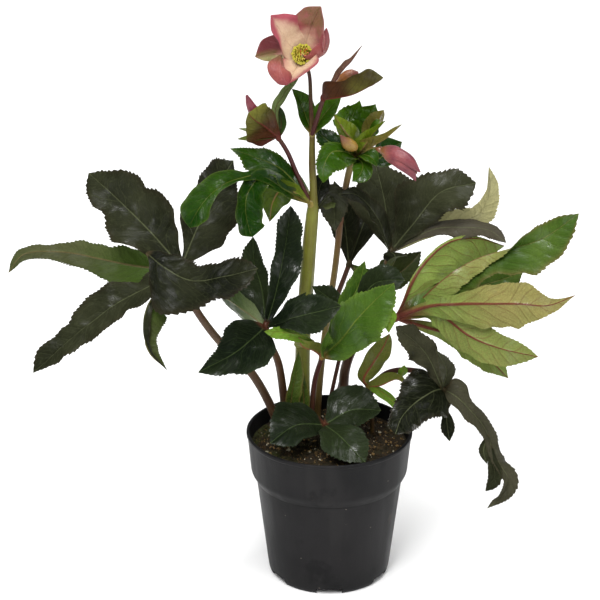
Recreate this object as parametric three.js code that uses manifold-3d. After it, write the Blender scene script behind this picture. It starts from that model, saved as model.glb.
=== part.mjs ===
// A hellebore in a round nursery pot: palmate leaves on long petioles, two flowering stems with leafy
// bracts, one open flower, its buds, the compost and the pot. Millimetres, +Z up.
// The origin is the middle of the whole plant's spread, on the surface that the pot stands on, and -Y is
// the plant's front. The sizes and places below are measured from the pot's axis.
import * as THREE from "three";
import { mergeVertices } from "three/addons/utils/BufferGeometryUtils.js";
import Module from "manifold-3d";

// --- Driving dimensions ---

const POT = {
  height: 121, // foot to rim
  rimRadius: 65,
  lipHeight: 3,
  lipDepth: 0.8, // how far the lip stands out from the band
  bandLowRadius: 60.6, // outside of the wide top band, at its lower edge
  bandLow: 82,
  shoulderRadius: 56.4, // body just under the band
  shoulder: 74,
  bodyFootRadius: 48.4,
  corner: 8, // height of the rounded lower corner
  footRadius: 43.5, // ring that touches the surface
  footInner: 40.5,
  wall: 1.6,
  floorLow: 6.5, // underside of the raised floor
  floorHigh: 8.3,
  notches: 6,
  notchWidth: 20,
  notchHeight: 5,
  drainHoles: 6,
  drainRadius: 4,
  drainCircle: 30,
  sides: 36,
};
const SOIL = {
  top: 109,
  crown: 4, // rise of the middle over the edge
  bump: 1.4,
  rings: 4,
  sectors: 20,
  crumbs: 12,
  crumbSize: 3,
  margin: 7, // between the crumbs and the pot
};
const GAP = 0.3; // clearance between pieces that touch
const POT_PLACE = [27.5, -32, 0]; // the pot's axis, seen from the middle of the plant's spread
// What a blade has unless its own line says otherwise: the stalk is its half width at the base, peak is
// where along it the blade is widest, and a lower full makes it rounder.
const BLADE = { thickness: 0.8, stalk: 1.3, tooth: 1.7, rows: 4, fold: 12, peak: 0.55, full: 1.15 };
const FINE_HALF = 18; // blades with a half width over this have twice as many teeth
const KNOB = 4; // radius of the joint where a leaf's leaflets meet
const LEAST_DETAIL = 0.1; // detail of a cut solid that is smaller than this is dropped
const SEED = 7;

// --- Colours and finishes ---

const finish = (color, roughness) => new THREE.MeshStandardMaterial({ color, roughness, metalness: 0 });
const FINISH = {
  pot: finish(0x2c2c30, 0.55),
  soil: finish(0x33261b, 0.95),
  darkLeaf: finish(0x27332a, 0.45),
  glossLeaf: finish(0x1d3322, 0.35),
  youngLeaf: finish(0x3f7a26, 0.4),
  paleLeaf: finish(0x7e9450, 0.45),
  bract: finish(0x2f6a22, 0.35),
  browned: finish(0x5f5a2c, 0.5),
  stem: finish(0x8a9440, 0.5),
  redStem: finish(0x7c6a3c, 0.5),
  petiole: finish(0x54392f, 0.5),
  shoot: finish(0x7f9a3e, 0.5),
  sepal: finish(0xcf8a86, 0.5),
  bud: finish(0xc06a68, 0.45),
  stamen: finish(0xc3b53a, 0.6),
};

// --- Solids from meshes ---

const wasm = await Module();
wasm.setup();
const { Manifold } = wasm;

const vec = (p) => new THREE.Vector3(...p);

// Flat lists of vertices and triangles as a solid. Triangles that all face inwards are turned round.
function solidFromLists(vertProperties, triVerts) {
  const solid = new Manifold(new wasm.Mesh({ numProp: 3, vertProperties, triVerts }));
  if (solid.volume() > 0) return solid;
  const turned = triVerts.map((_, i) => triVerts[i - (i % 3) + ((3 - (i % 3)) % 3)]);
  return new Manifold(new wasm.Mesh({ numProp: 3, vertProperties, triVerts: turned }));
}

// Points and triangles as a solid.
function solidFrom(points, faces) {
  const coordinates = points.flatMap((p) => [p.x, p.y, p.z]);
  return solidFromLists(new Float32Array(coordinates), new Uint32Array(faces.flat()));
}

// A closed three.js geometry as a solid.
function solidOf(geometry) {
  const bare = new THREE.BufferGeometry().setAttribute("position", geometry.getAttribute("position"));
  if (geometry.index) bare.setIndex(geometry.index);
  const merged = mergeVertices(bare, 1e-4);
  const { position } = merged.attributes;
  return solidFromLists(new Float32Array(position.array), new Uint32Array(merged.index.array));
}

// The largest body of a cut solid.
function mainBody(solid) {
  return solid.decompose().sort((a, b) => b.volume() - a.volume())[0];
}

function meshOf(name, solid, material) {
  const made = mainBody(solid.asOriginal().simplify(LEAST_DETAIL)).getMesh();
  const positions = new Float32Array(made.numVert * 3);
  for (let i = 0; i < made.numVert; i++) {
    positions.set(made.vertProperties.subarray(i * made.numProp, i * made.numProp + 3), i * 3);
  }
  const geometry = new THREE.BufferGeometry()
    .setAttribute("position", new THREE.BufferAttribute(positions, 3))
    .setIndex(new THREE.BufferAttribute(made.triVerts, 1));
  geometry.computeVertexNormals();
  const mesh = new THREE.Mesh(geometry, material);
  mesh.name = name;
  return mesh;
}

// Repeatable random numbers from 0 to 1.
function randomSource(seed) {
  let state = seed;
  return () => {
    state = (state * 16807) % 2147483647;
    return state / 2147483647;
  };
}

const pathThrough = (points) => new THREE.CatmullRomCurve3(points.map(vec), false, "catmullrom", 0.5);

// --- Stems and buds ---

// A round body along a path, whose radius follows the list of radii. It is thicker by grow all over.
function stemSolid({ path, radii, sides = 7, steps = 9, lobes = 0 }, grow = 0) {
  const curve = pathThrough(path);
  const points = [];
  const faces = [];
  for (let i = 0; i <= steps; i++) {
    const t = i / steps;
    const at = t * (radii.length - 1);
    const low = Math.min(Math.floor(at), radii.length - 2);
    const radius = THREE.MathUtils.lerp(radii[low], radii[low + 1], at - low) + grow;
    const along = curve.getTangent(t);
    const centre = curve.getPoint(t);
    if (i === 0) centre.addScaledVector(along, -grow);
    if (i === steps) centre.addScaledVector(along, grow);
    const side = along.clone().cross(new THREE.Vector3(0, 1, 0.1)).normalize();
    const up = side.clone().cross(along);
    for (let k = 0; k < sides; k++) {
      const angle = (2 * Math.PI * k) / sides;
      const out = radius * (1 + (lobes ? 0.09 * Math.cos(lobes * angle + 2 * t) : 0));
      const across = side.clone().multiplyScalar(out * Math.cos(angle));
      points.push(centre.clone().add(across).addScaledVector(up, out * Math.sin(angle)));
    }
  }
  for (let i = 0; i < steps; i++) {
    for (let k = 0; k < sides; k++) {
      const a = i * sides + k;
      const b = i * sides + ((k + 1) % sides);
      faces.push([a, a + sides, b], [b, a + sides, b + sides]);
    }
  }
  const last = steps * sides;
  for (let k = 1; k < sides - 1; k++) {
    faces.push([0, k, k + 1], [last, last + k + 1, last + k]);
  }
  return solidFrom(points, faces);
}

// A stem made of its branches, each sunk into the one before.
const branchedSolid = (branches, grow = 0) =>
  Manifold.union(branches.map((branch) => stemSolid(branch, grow)));

function knobSolid(centre, radius = KNOB) {
  return solidOf(new THREE.IcosahedronGeometry(radius, 0).translate(...centre));
}

// --- Blades ---

// A blade at t along its midrib: the centre, the sideways and upward directions, and half of its width.
function bladeStation(blade, curve, t) {
  const along = curve.getTangent(t);
  const side = along.clone().cross(vec(blade.face)).normalize();
  const up = side.clone().cross(along);
  const turn = THREE.MathUtils.degToRad((blade.twist ?? 0) * t);
  side.applyAxisAngle(along, turn);
  up.applyAxisAngle(along, turn);
  const power = Math.log(0.5) / Math.log(blade.peak ?? BLADE.peak);
  const swell = Math.max(Math.sin(Math.PI * t ** power), 0) ** (blade.full ?? BLADE.full);
  const halfWidth = (blade.stalk ?? BLADE.stalk) * (1 - t) + blade.half * swell;
  return { centre: curve.getPoint(t), along, side, up, t, halfWidth };
}

// A point of the blade's middle surface: s runs from -1 at one margin to 1 at the other.
function bladePoint(blade, station, s, tooth = 0) {
  const { centre, along, side, up, t, halfWidth } = station;
  const fold = THREE.MathUtils.degToRad(blade.fold ?? BLADE.fold);
  const reach = Math.abs(s);
  const stand = tooth * Math.min(1, halfWidth / 9);
  const out = reach * halfWidth + stand;
  const phase = 2 * Math.PI * (blade.waves ?? 2) * t + (s < 0 ? 1.9 : 0) + (blade.phase ?? 0);
  const ripple = (blade.wave ?? 0) * reach * reach * Math.sin(phase) * Math.sin(Math.PI * t) ** 0.5;
  const rise = out * Math.sin(fold) + (blade.cup ?? 0) * out * reach + ripple;
  return centre
    .clone()
    .addScaledVector(side, Math.sign(s) * out * Math.cos(fold))
    .addScaledVector(up, rise)
    .addScaledVector(along, stand);
}

// A thin closed blade from its base to a pointed tip. On a toothed margin every second point stands out.
function bladeSolid(blade) {
  const curve = pathThrough(blade.path);
  const toothed = blade.teeth ?? true;
  const rows = blade.rows ?? BLADE.rows;
  const perRow = toothed ? (blade.half > FINE_HALF ? 4 : 2) : 1;
  const half = (blade.thickness ?? BLADE.thickness) / 2;
  const points = [];
  const addPair = (point, up) => {
    points.push(point.clone().addScaledVector(up, half), point.clone().addScaledVector(up, -half));
    return [points.length - 2, points.length - 1];
  };
  const end = bladeStation(blade, curve, 1);
  const tip = addPair(end.centre, end.up);
  // Each line runs from the base to the tip and holds pairs of an upper and a lower vertex.
  const lines = [-1, -0.55, 0, 0.55, 1].map((s) => {
    const margin = Math.abs(s) === 1;
    const steps = margin ? rows * perRow : rows;
    const line = [];
    for (let i = 0; i < steps; i++) {
      const isTooth = toothed && margin && i % 2 === 1;
      const station = bladeStation(blade, curve, (i + (isTooth ? 0.2 : 0)) / steps);
      line.push(addPair(bladePoint(blade, station, s, isTooth ? BLADE.tooth : 0), station.up));
    }
    return [...line, tip];
  });
  const faces = [];
  const addFace = (a, b, c) => {
    if (new Set([a[0], b[0], c[0]]).size === 3) faces.push([a[0], b[0], c[0]], [a[1], c[1], b[1]]);
  };
  const addWall = (a, b) => faces.push([a[0], a[1], b[0]], [b[0], a[1], b[1]]);
  const [leftMargin, left, midrib, right, rightMargin] = lines;
  for (let i = 0; i < rows; i++) {
    for (const [a, b] of [[left, midrib], [midrib, right]]) {
      addFace(a[i], b[i], b[i + 1]);
      addFace(a[i], b[i + 1], a[i + 1]);
    }
    const turn = Math.ceil(perRow / 2); // margin steps that the row's first inner vertex serves
    for (let k = 0; k < perRow; k++) {
      const j = i * perRow + k;
      const from = k < turn ? i : i + 1;
      addFace(left[from], leftMargin[j + 1], leftMargin[j]);
      addFace(right[from], rightMargin[j], rightMargin[j + 1]);
    }
    const middle = i * perRow + turn;
    addFace(left[i], left[i + 1], leftMargin[middle]);
    addFace(right[i], rightMargin[middle], right[i + 1]);
  }
  for (let j = 0; j < rows * perRow; j++) {
    addWall(leftMargin[j + 1], leftMargin[j]);
    addWall(rightMargin[j], rightMargin[j + 1]);
  }
  for (let c = 0; c < 4; c++) addWall(lines[c][0], lines[c + 1][0]);
  return solidFrom(points, faces);
}

// Blades that all start at the hub, fused there, with room for the stem that carries them.
function rosetteSolid(hub, blades, stem, knob = KNOB) {
  const spread = blades.map((blade) => bladeSolid({ ...blade, path: [hub, ...blade.path] }));
  return Manifold.union([knobSolid(hub, knob), ...spread]).subtract(stem);
}

// --- Leaves: the petiole from the compost to the hub, then the leaflets from the hub outwards ---

const FACING = [0, -0.75, 0.65]; // a blade that shows its upper side to the front
const AWAY = [0, 0.85, 0.5]; // a blade that shows its underside to the front
const LEVEL = [0, -0.2, 0.98];

const LEAVES = {
  left: {
    material: "darkLeaf",
    petiole: [
      [-38, 12, 88],
      [-40, 12, 118],
      [-59, 8, 163],
      [-88, -6, 203],
      [-107, -17, 240],
      [-112, -20, 266],
    ],
    radii: [3.8, 3.6, 3.4, 3.1, 2.8, 2.2],
    leaflets: [
      {
        path: [[-146, 5, 286], [-185, 30, 322]],
        half: 25,
        face: [0.1, -0.8, 0.6],
        wave: 5,
        waves: 2.4,
        fold: 8,
      },
      {
        path: [[-176, 12, 264], [-218, 6, 264], [-248, 0, 254]],
        half: 18,
        face: AWAY,
        fold: 14,
        peak: 0.4,
      },
      {
        path: [[-163, -38, 241], [-194, -48, 214], [-222, -52, 184]],
        half: 17,
        face: [-0.1, -0.6, 0.8],
        wave: 3,
      },
      { path: [[-131, -42, 244], [-136, -56, 222], [-123, -70, 203]], half: 9, face: [-0.85, 0.3, 0.4] },
      { path: [[-84, -38, 270], [-50, -50, 279]], half: 24, face: [0, -0.55, 0.83], wave: 3, peak: 0.48 },
      { path: [[-124, -46, 250], [-134, -62, 226]], half: 18, face: [0, -0.7, 0.7], wave: 2, fold: 5 },
      {
        path: [[-98, 12, 296], [-68, 38, 326]],
        half: 27,
        face: [0, -0.8, 0.6],
        wave: 4,
        peak: 0.5,
        phase: 2,
      },
    ],
  },
  centre: {
    material: "glossLeaf",
    petiole: [[-33, 22, 88], [-34, 21, 118], [-39, 6, 172], [-47, -8, 200], [-49, -12, 214]],
    radii: [3.6, 3.4, 3.0, 2.6, 2.2],
    leaflets: [
      { path: [[-42, -6, 262], [-28, 8, 306]], half: 13, face: [0.1, -0.95, 0.3], fold: 25, full: 0.8 },
      { path: [[-58, 6, 248], [-61, 18, 282]], half: 14, face: [-0.2, -0.9, 0.3], fold: 10 },
      { path: [[-74, -40, 209], [-102, -60, 196]], half: 22, face: [0, -0.6, 0.8], wave: 2, peak: 0.5 },
      { path: [[-22, -30, 232], [6, -36, 246]], half: 16, face: [0, -0.7, 0.7], peak: 0.5 },
      { path: [[-33, -18, 232], [-16, -18, 250]], half: 8, face: [0, -0.5, 0.85] },
      { path: [[-70, 0, 228], [-90, 12, 240]], half: 13, face: AWAY },
    ],
  },
  young_front: {
    material: "youngLeaf",
    petiole: [[-14, 14, 88], [-14, 14, 118], [-12, 8, 156], [-6, -4, 185]],
    radii: [2.3, 2.2, 2.0, 1.9],
    leaflets: [
      {
        path: [[22, -22, 220], [50, -20, 256]],
        half: 22,
        face: [-0.25, -0.9, 0.35],
        fold: 16,
        peak: 0.5,
      },
      { path: [[12, 2, 226], [26, 10, 262]], half: 12, face: [0, -0.95, 0.3], fold: 15 },
      { path: [[-28, -20, 203], [-52, -26, 213]], half: 9, face: [0, -0.35, 0.94], fold: 18 },
      { path: [[-6, -18, 200], [-2, -26, 216]], half: 7, face: [0.5, -0.7, 0.5], fold: 30, rows: 3 },
      { path: [[28, -14, 196], [48, -18, 198]], half: 9, face: [0, -0.9, 0.4], rows: 3 },
    ],
  },
  right: {
    material: "paleLeaf",
    petiole: [[12, 30, 88], [12, 30, 118], [13, 34, 158], [27, 28, 190], [51, 20, 207]],
    radii: [4.4, 4.2, 3.9, 3.3, 2.6],
    leaflets: [
      { path: [[115, -6, 229], [189, -24, 240]], half: 21, face: [0, 0.95, 0.25], fold: 6 },
      { path: [[99, 6, 204], [161, -8, 192]], half: 19, face: [0, 0.95, 0.2], fold: 6 },
      {
        path: [[88, 22, 235], [140, 26, 260], [193, 34, 284]],
        half: 19,
        face: [0, 0.7, 0.7],
        twist: 115,
        fold: 28,
      },
      { path: [[82, 48, 238], [122, 58, 256]], half: 17, face: [0, 0.9, 0.4], fold: 14 },
      { path: [[106, 22, 180], [143, 16, 162]], half: 15, face: [0, 0.95, 0.2] },
      { path: [[92, 40, 222], [148, 62, 228]], half: 17, face: FACING, fold: 10 },
    ],
  },
  back_right: {
    material: "darkLeaf",
    petiole: [[6, 46, 88], [6, 46, 118], [18, 52, 167], [38, 58, 215], [48, 60, 247]],
    radii: [2.5, 2.4, 2.3, 2.2, 2.0],
    leaflets: [
      { path: [[37, 42, 285], [22, 15, 307], [6, 6, 302]], half: 11, face: [0.4, -0.6, 0.7], fold: 22 },
      { path: [[44, 80, 280], [36, 104, 308]], half: 26, face: [0, -0.9, 0.45], fold: 8 },
      { path: [[80, 62, 284], [116, 74, 302]], half: 25, face: [0, -0.8, 0.6], fold: 8, wave: 3 },
      { path: [[96, 64, 273], [140, 58, 258]], half: 12, face: LEVEL, fold: -12 },
      { path: [[102, 86, 264], [134, 100, 307]], half: 13, face: [0.4, 0.85, 0.2], fold: 10, peak: 0.5 },
      { path: [[51, 46, 247], [40, 36, 230]], half: 9, face: [0, 0.6, 0.8] },
    ],
  },
  back: {
    material: "darkLeaf",
    petiole: [[-10, 50, 88], [-10, 50, 118], [-2, 62, 179], [16, 78, 229]],
    radii: [2.4, 2.3, 2.2, 2.0],
    leaflets: [
      { path: [[12, 92, 262], [4, 100, 292]], half: 12, face: [0, -0.95, 0.3] },
      { path: [[40, 84, 250], [62, 92, 258]], half: 14, face: FACING, peak: 0.5 },
      { path: [[30, 108, 258], [40, 134, 272]], half: 17, face: LEVEL },
    ],
  },
  hidden: {
    material: "glossLeaf",
    petiole: [[-2, 22, 88], [-2, 22, 118], [6, 18, 165], [16, 4, 216]],
    radii: [1.7, 1.6, 1.6, 1.6],
    leaflets: [
      { path: [[40, 4, 242], [60, 0, 246]], half: 14, face: [0, -0.8, 0.6] },
      { path: [[2, 10, 226], [-14, 6, 240]], half: 8, face: FACING },
    ],
  },
  low_right: {
    material: "darkLeaf",
    petiole: [[26, 28, 88], [26, 28, 118], [42, 24, 156], [70, 6, 168], [87, -9, 160]],
    radii: [2.6, 2.5, 2.3, 2.1, 1.9],
    leaflets: [
      { path: [[74, -8, 190], [50, -14, 217]], half: 14, face: [0.4, -0.8, 0.4], fold: 16, wave: 2 },
      { path: [[92, -20, 178], [86, -26, 202]], half: 9, face: [0.6, -0.7, 0.3], fold: 25 },
      { path: [[66, -44, 176], [43, -66, 144]], half: 22, face: [-0.2, -0.7, 0.7], fold: 6, peak: 0.5 },
      {
        path: [[102, -18, 154], [116, -24, 112], [119, -30, 66]],
        half: 14,
        face: [0.3, -0.8, 0.5],
        wave: 5,
      },
      { path: [[91, -24, 146], [90, -30, 126]], half: 8, face: [0.3, -0.9, 0.2] },
    ],
  },
  low_front: {
    material: "glossLeaf",
    petiole: [[-4, 6, 88], [-4, 6, 112], [-4, -2, 124], [-4, -8, 129]],
    radii: [1.8, 1.8, 1.7, 1.6],
    leaflets: [
      { path: [[-28, -26, 140], [-50, -40, 132]], half: 19, face: [0, -0.35, 0.93], fold: 6, full: 0.75 },
      { path: [[12, -10, 146], [32, -12, 144]], half: 19, face: [0, -0.5, 0.85], fold: 6, full: 0.75 },
      { path: [[10, -34, 136], [25, -54, 126]], half: 17, face: [0, -0.35, 0.93], fold: 6, full: 0.75 },
    ],
  },
  young_right: {
    material: "youngLeaf",
    petiole: [[34, 14, 88], [34, 14, 118], [33, 17, 138], [30, 18, 150]],
    radii: [1.7, 1.6, 1.6, 1.5],
    leaflets: [
      { path: [[38, 12, 174], [46, 6, 198]], half: 8, face: [0.2, 0.9, 0.4], fold: 18, teeth: false },
      { path: [[46, 10, 162], [60, 4, 172]], half: 6, face: [0, 0.3, 0.9], fold: 15, teeth: false },
      { path: [[43, 8, 152], [54, 2, 144]], half: 5, face: LEVEL, teeth: false },
    ],
  },
};

// --- Flowering stems: the first branch stands in the compost, and the others grow from it ---

const MAIN_STEM = [
  {
    path: [[-21, 24, 88], [-21, 24, 123], [-21, 20, 184], [-17, 12, 257], [-13, 8, 309], [-14, 7, 365]],
    radii: [5.6, 5.5, 5, 4.6, 3.8, 2.1],
    sides: 8,
  },
  { path: [[-14, 7, 362], [-15, 8, 388], [-16, 8, 407], [-20, 1, 421]], radii: [1.9, 1.5, 1.4, 1.7] },
  { path: [[-15, 8, 305], [-26, 4, 333], [-33, -2, 352], [-44, -10, 372]], radii: [2, 1.8, 1.7, 1.6] },
  { path: [[-14, 6, 362], [-9, 0, 381], [-5, -4, 396], [-2, -4, 403]], radii: [1.8, 1.7, 1.7, 1.5] },
];
const SECOND_STEM = [
  {
    path: [
      [-9, 34, 88],
      [-9, 34, 123],
      [-4, 40, 180],
      [4, 40, 239],
      [9, 34, 291],
      [15, 24, 330],
      [21, 20, 343],
    ],
    radii: [2.8, 2.7, 2.6, 2.5, 2.4, 2.6, 2.4],
  },
  {
    path: [[20, 20, 341], [26, 17, 346], [32, 14, 348], [38, 12, 348]],
    radii: [1.7, 1.5, 1.4, 1.5],
    steps: 5,
  },
  { path: [[20, 19, 342], [17, 12, 351]], radii: [1.5, 1.3], steps: 2 },
];

// --- Bracts: blades around a point of a flowering stem ---

const BRACTS = {
  bract_leaf_left: {
    hub: [-14, 8, 306],
    knob: 5.2,
    stem: MAIN_STEM,
    material: "bract",
    blades: [
      { path: [[-40, 0, 340], [-80, -6, 356]], half: 13, face: [0, -0.6, 0.8], fold: 16 },
      {
        path: [[-50, -20, 336], [-82, -40, 338], [-108, -46, 314]],
        half: 16,
        face: [0, -0.7, 0.7],
        wave: 4,
      },
      {
        path: [[-47, -24, 338], [-67, -42, 326], [-58, -46, 294]],
        half: 12,
        face: [0.3, -0.6, 0.7],
        fold: 16,
      },
      { path: [[-36, 4, 314], [-46, 10, 287]], half: 13, face: [0.2, 0.7, 0.6], teeth: false },
    ],
  },
  bract_leaf_hanging: {
    hub: [-11.5, 12, 300],
    knob: 4,
    stem: MAIN_STEM,
    material: "darkLeaf",
    blades: [
      { path: [[1, 24, 306], [4, 25, 277]], half: 10, face: [0, -0.9, 0.4], peak: 0.62 },
      { path: [[-8, 22, 314], [-2, 24, 328]], half: 7, face: [0, -0.9, 0.4], teeth: false },
    ],
  },
  bracts_upper_node: {
    hub: [-14, 7, 362],
    knob: 3.6,
    stem: MAIN_STEM,
    material: "bract",
    blades: [
      { path: [[-20, 2, 382], [-31, -4, 401]], half: 8, face: [0.3, -0.9, 0.3], fold: 22, teeth: false },
      { path: [[-4, 14, 377], [6, 16, 391]], half: 8, face: [-0.3, -0.9, 0.4], fold: 20, teeth: false },
    ],
  },
  bracts_left_bud: {
    hub: [-39, -7, 364],
    knob: 3.2,
    stem: MAIN_STEM,
    material: "browned",
    blades: [
      {
        path: [[-50, -22, 374], [-54, -21, 397]],
        half: 13,
        face: [0.1, 0.95, 0.1],
        cup: 0.3,
        full: 0.8,
        teeth: false,
      },
      {
        path: [[-50, -20, 363], [-56, -18, 353]],
        half: 13,
        face: [0.2, 0.9, 0.4],
        cup: 0.2,
        full: 0.8,
        teeth: false,
      },
      { path: [[-35, 2, 374], [-42, 4, 388]], half: 9, face: [-0.5, -0.8, 0.3], cup: 0.3, teeth: false },
      {
        path: [[-38, 2, 386], [-33, 3, 400], [-24, 6, 408]],
        half: 5,
        face: [0.7, -0.7, 0],
        teeth: false,
      },
      { path: [[-54, 1, 362], [-71, 2, 364]], half: 7, face: LEVEL, teeth: false },
    ],
  },
  bracts_right_bud: {
    hub: [-6, -3, 393],
    knob: 3.2,
    stem: MAIN_STEM,
    material: "browned",
    blades: [
      {
        path: [[11, -13, 400], [28, -14, 407], [41, -10, 409]],
        half: 11,
        face: [0, 0.8, 0.6],
        fold: 24,
        teeth: false,
      },
      {
        path: [[-2, 5, 405], [10, 7, 419], [24, 6, 432]],
        half: 5,
        face: [0.6, -0.7, -0.3],
        fold: 20,
        teeth: false,
      },
    ],
  },
  bracts_cluster: {
    hub: [19, 21, 339],
    knob: 4.6,
    stem: SECOND_STEM,
    material: "bract",
    blades: [
      { path: [[12, 2, 345], [2, -3, 342], [-3, -5, 324]], half: 14, face: [0, -0.8, 0.6], wave: 2 },
      { path: [[4, 15, 354], [-6, 18, 366]], half: 8, face: [0, -0.8, 0.6], rows: 3 },
      { path: [[23, 8, 334], [19, 6, 326]], half: 9, face: [0, -0.4, 0.9], rows: 3, teeth: false },
      { path: [[32, 8, 340], [36, 4, 333]], half: 6, face: [0.2, -0.6, 0.7], rows: 3, teeth: false },
      { path: [[14, 18, 364], [2, 13, 380]], half: 9, face: [-0.4, 0.8, 0.4], fold: 20, teeth: false },
      { path: [[20, 31, 366], [28, 31, 386]], half: 13, face: [0.1, -0.9, 0.3], wave: 2 },
      { path: [[36, 26, 364], [44, 28, 378]], half: 11, face: [-0.3, -0.9, 0.3], teeth: false },
      { path: [[38, 15, 358], [54, 9, 370]], half: 9, face: [-0.4, 0.6, 0.7], fold: 22, teeth: false },
      { path: [[28, 10, 362], [38, 10, 378]], half: 8, face: [-0.6, 0.6, 0.4], fold: 20, teeth: false },
      { path: [[44, 34, 346], [58, 42, 346]], half: 10, face: [0, -0.9, 0.4], teeth: false },
    ],
  },
};

// --- The open flower, facing the front and a little up ---

const FLOWER = {
  receptacle: [-20, 0, 422],
  centre: [-21, -7, 427], // middle of the stamens
  axis: [-0.12, -0.8, 0.58],
  sepals: [
    {
      path: [[-29, -6, 441], [-37, -10, 452], [-45, -18, 462]],
      half: 14,
      face: [0.35, -0.8, 0.3],
      fold: 10,
    },
    {
      path: [[-13, -1, 442], [-9, -3, 454], [-8, -9, 465]],
      half: 15,
      face: [-0.3, -0.85, 0.2],
      fold: 12,
    },
    { path: [[-6, -6, 429], [-1, -18, 438], [-8, -26, 452]], half: 13, face: [-0.9, 0.1, 0.2], cup: 0.2 },
    {
      path: [[-21, -14, 412], [-27, -26, 411], [-35, -31, 417]],
      half: 14,
      face: [0.1, -0.2, 0.95],
      cup: 0.35,
    },
    { path: [[-34, -1, 427], [-45, 1, 427], [-57, -4, 425]], half: 14, face: [0.3, -0.9, 0.3], cup: 0.2 },
  ],
  stamens: 11,
  stamenRing: 4.8,
  boss: 3.6,
};

const HALF_OPEN = {
  neck: [37, 12, 348],
  sepals: [
    {
      path: [[46, 7, 350], [57, 1, 345], [67, -2, 334]],
      half: 9,
      face: [-0.3, 0.4, -0.85],
      cup: 0.5,
      rows: 3,
    },
    {
      path: [[46, 5, 341], [56, 2, 333], [63, 2, 326]],
      half: 8,
      face: [0.2, 0.3, 0.9],
      cup: 0.4,
      rows: 3,
    },
    {
      path: [[47, 15, 346], [58, 11, 340], [66, 5, 331]],
      half: 8,
      face: [-0.2, -0.9, -0.2],
      cup: 0.4,
      rows: 3,
    },
  ],
};

const BUDS = {
  bud_left: {
    path: [[-44, -10, 371], [-50, -11, 379], [-56, -12, 387], [-64, -14, 399]],
    radii: [3, 6.5, 5.5, 4, 0.6],
    stem: MAIN_STEM,
  },
  bud_right: {
    path: [[-2, -4, 402], [5, -4, 407], [12, -4, 410], [21, -6, 412]],
    radii: [2.2, 4.4, 5, 4.2, 1.6],
    stem: MAIN_STEM,
  },
  bud_cluster: {
    path: [[17, 12, 350], [14, 7, 356], [10, 4, 361], [6, 1, 366]],
    radii: [2.2, 4.8, 4.8, 3, 0.5],
    stem: SECOND_STEM,
  },
};

const SHOOTS = {
  shoot_left: {
    foot: { path: [[-30, 8, 88], [-30, 8, 112], [-30, 7, 126]], radii: [2.4, 2.4, 2], steps: 3 },
    sheath: { path: [[-30, 5, 152], [-27, 3, 190]], half: 5, face: [0.3, -0.9, 0.2] },
  },
  shoot_right: {
    foot: { path: [[-20, 9, 88], [-20, 9, 112], [-20, 8, 126]], radii: [2.2, 2.2, 1.9], steps: 3 },
    sheath: { path: [[-20, 8, 146], [-22, 6, 172]], half: 4, face: [-0.3, -0.9, 0.2] },
  },
};

const group = new THREE.Group();
group.name = "potted_hellebore";
group.position.set(...POT_PLACE);

// --- Pot ---

function potSolid() {
  const { wall, sides } = POT;
  const profile = [
    [0, POT.floorLow],
    [POT.footInner, POT.floorLow],
    [POT.footInner, 0],
    [POT.footRadius, 0],
    [POT.bodyFootRadius - 1.6, POT.corner * 0.3],
    [POT.bodyFootRadius, POT.corner],
    [POT.shoulderRadius, POT.shoulder],
    [POT.bandLowRadius, POT.bandLow],
    [POT.rimRadius - POT.lipDepth, POT.height - POT.lipHeight],
    [POT.rimRadius, POT.height - POT.lipHeight],
    [POT.rimRadius, POT.height],
    [POT.rimRadius - POT.lipDepth - wall, POT.height],
    [POT.bandLowRadius - wall, POT.bandLow],
    [POT.shoulderRadius - wall, POT.shoulder],
    [POT.bodyFootRadius - wall, POT.floorHigh],
    [0, POT.floorHigh],
  ];
  const shell = new THREE.LatheGeometry(profile.map(([r, z]) => new THREE.Vector2(r, z)), sides);
  shell.rotateX(Math.PI / 2);
  const body = solidOf(shell);
  const cuts = [];
  for (let i = 0; i < POT.notches; i++) {
    const turn = (2 * Math.PI * i) / POT.notches - Math.PI / 2;
    const notch = new THREE.BoxGeometry(12, POT.notchWidth, POT.notchHeight * 2);
    notch.translate(POT.footRadius, 0, 0).rotateZ(turn);
    cuts.push(solidOf(notch));
  }
  for (let i = 0; i < POT.drainHoles; i++) {
    const turn = (2 * Math.PI * (i + 0.5)) / POT.drainHoles;
    const hole = new THREE.CylinderGeometry(POT.drainRadius, POT.drainRadius, 8, 10).rotateX(Math.PI / 2);
    hole.translate(POT.drainCircle * Math.cos(turn), POT.drainCircle * Math.sin(turn), POT.floorLow + 1);
    cuts.push(solidOf(hole));
  }
  return body.subtract(Manifold.union(cuts));
}

// --- Compost ---

// The inside radius of the pot at a height, for what fills it.
function insideRadius(z) {
  const levels = [
    [POT.floorHigh, POT.bodyFootRadius],
    [POT.shoulder, POT.shoulderRadius],
    [POT.bandLow, POT.bandLowRadius],
    [POT.height, POT.rimRadius - POT.lipDepth],
  ];
  const next = Math.max(levels.findIndex(([level]) => level >= z), 1);
  const [[lowZ, lowR], [highZ, highR]] = [levels[next - 1], levels[next]];
  return THREE.MathUtils.mapLinear(z, lowZ, highZ, lowR, highR) - POT.wall - GAP * 1.2;
}

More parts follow.
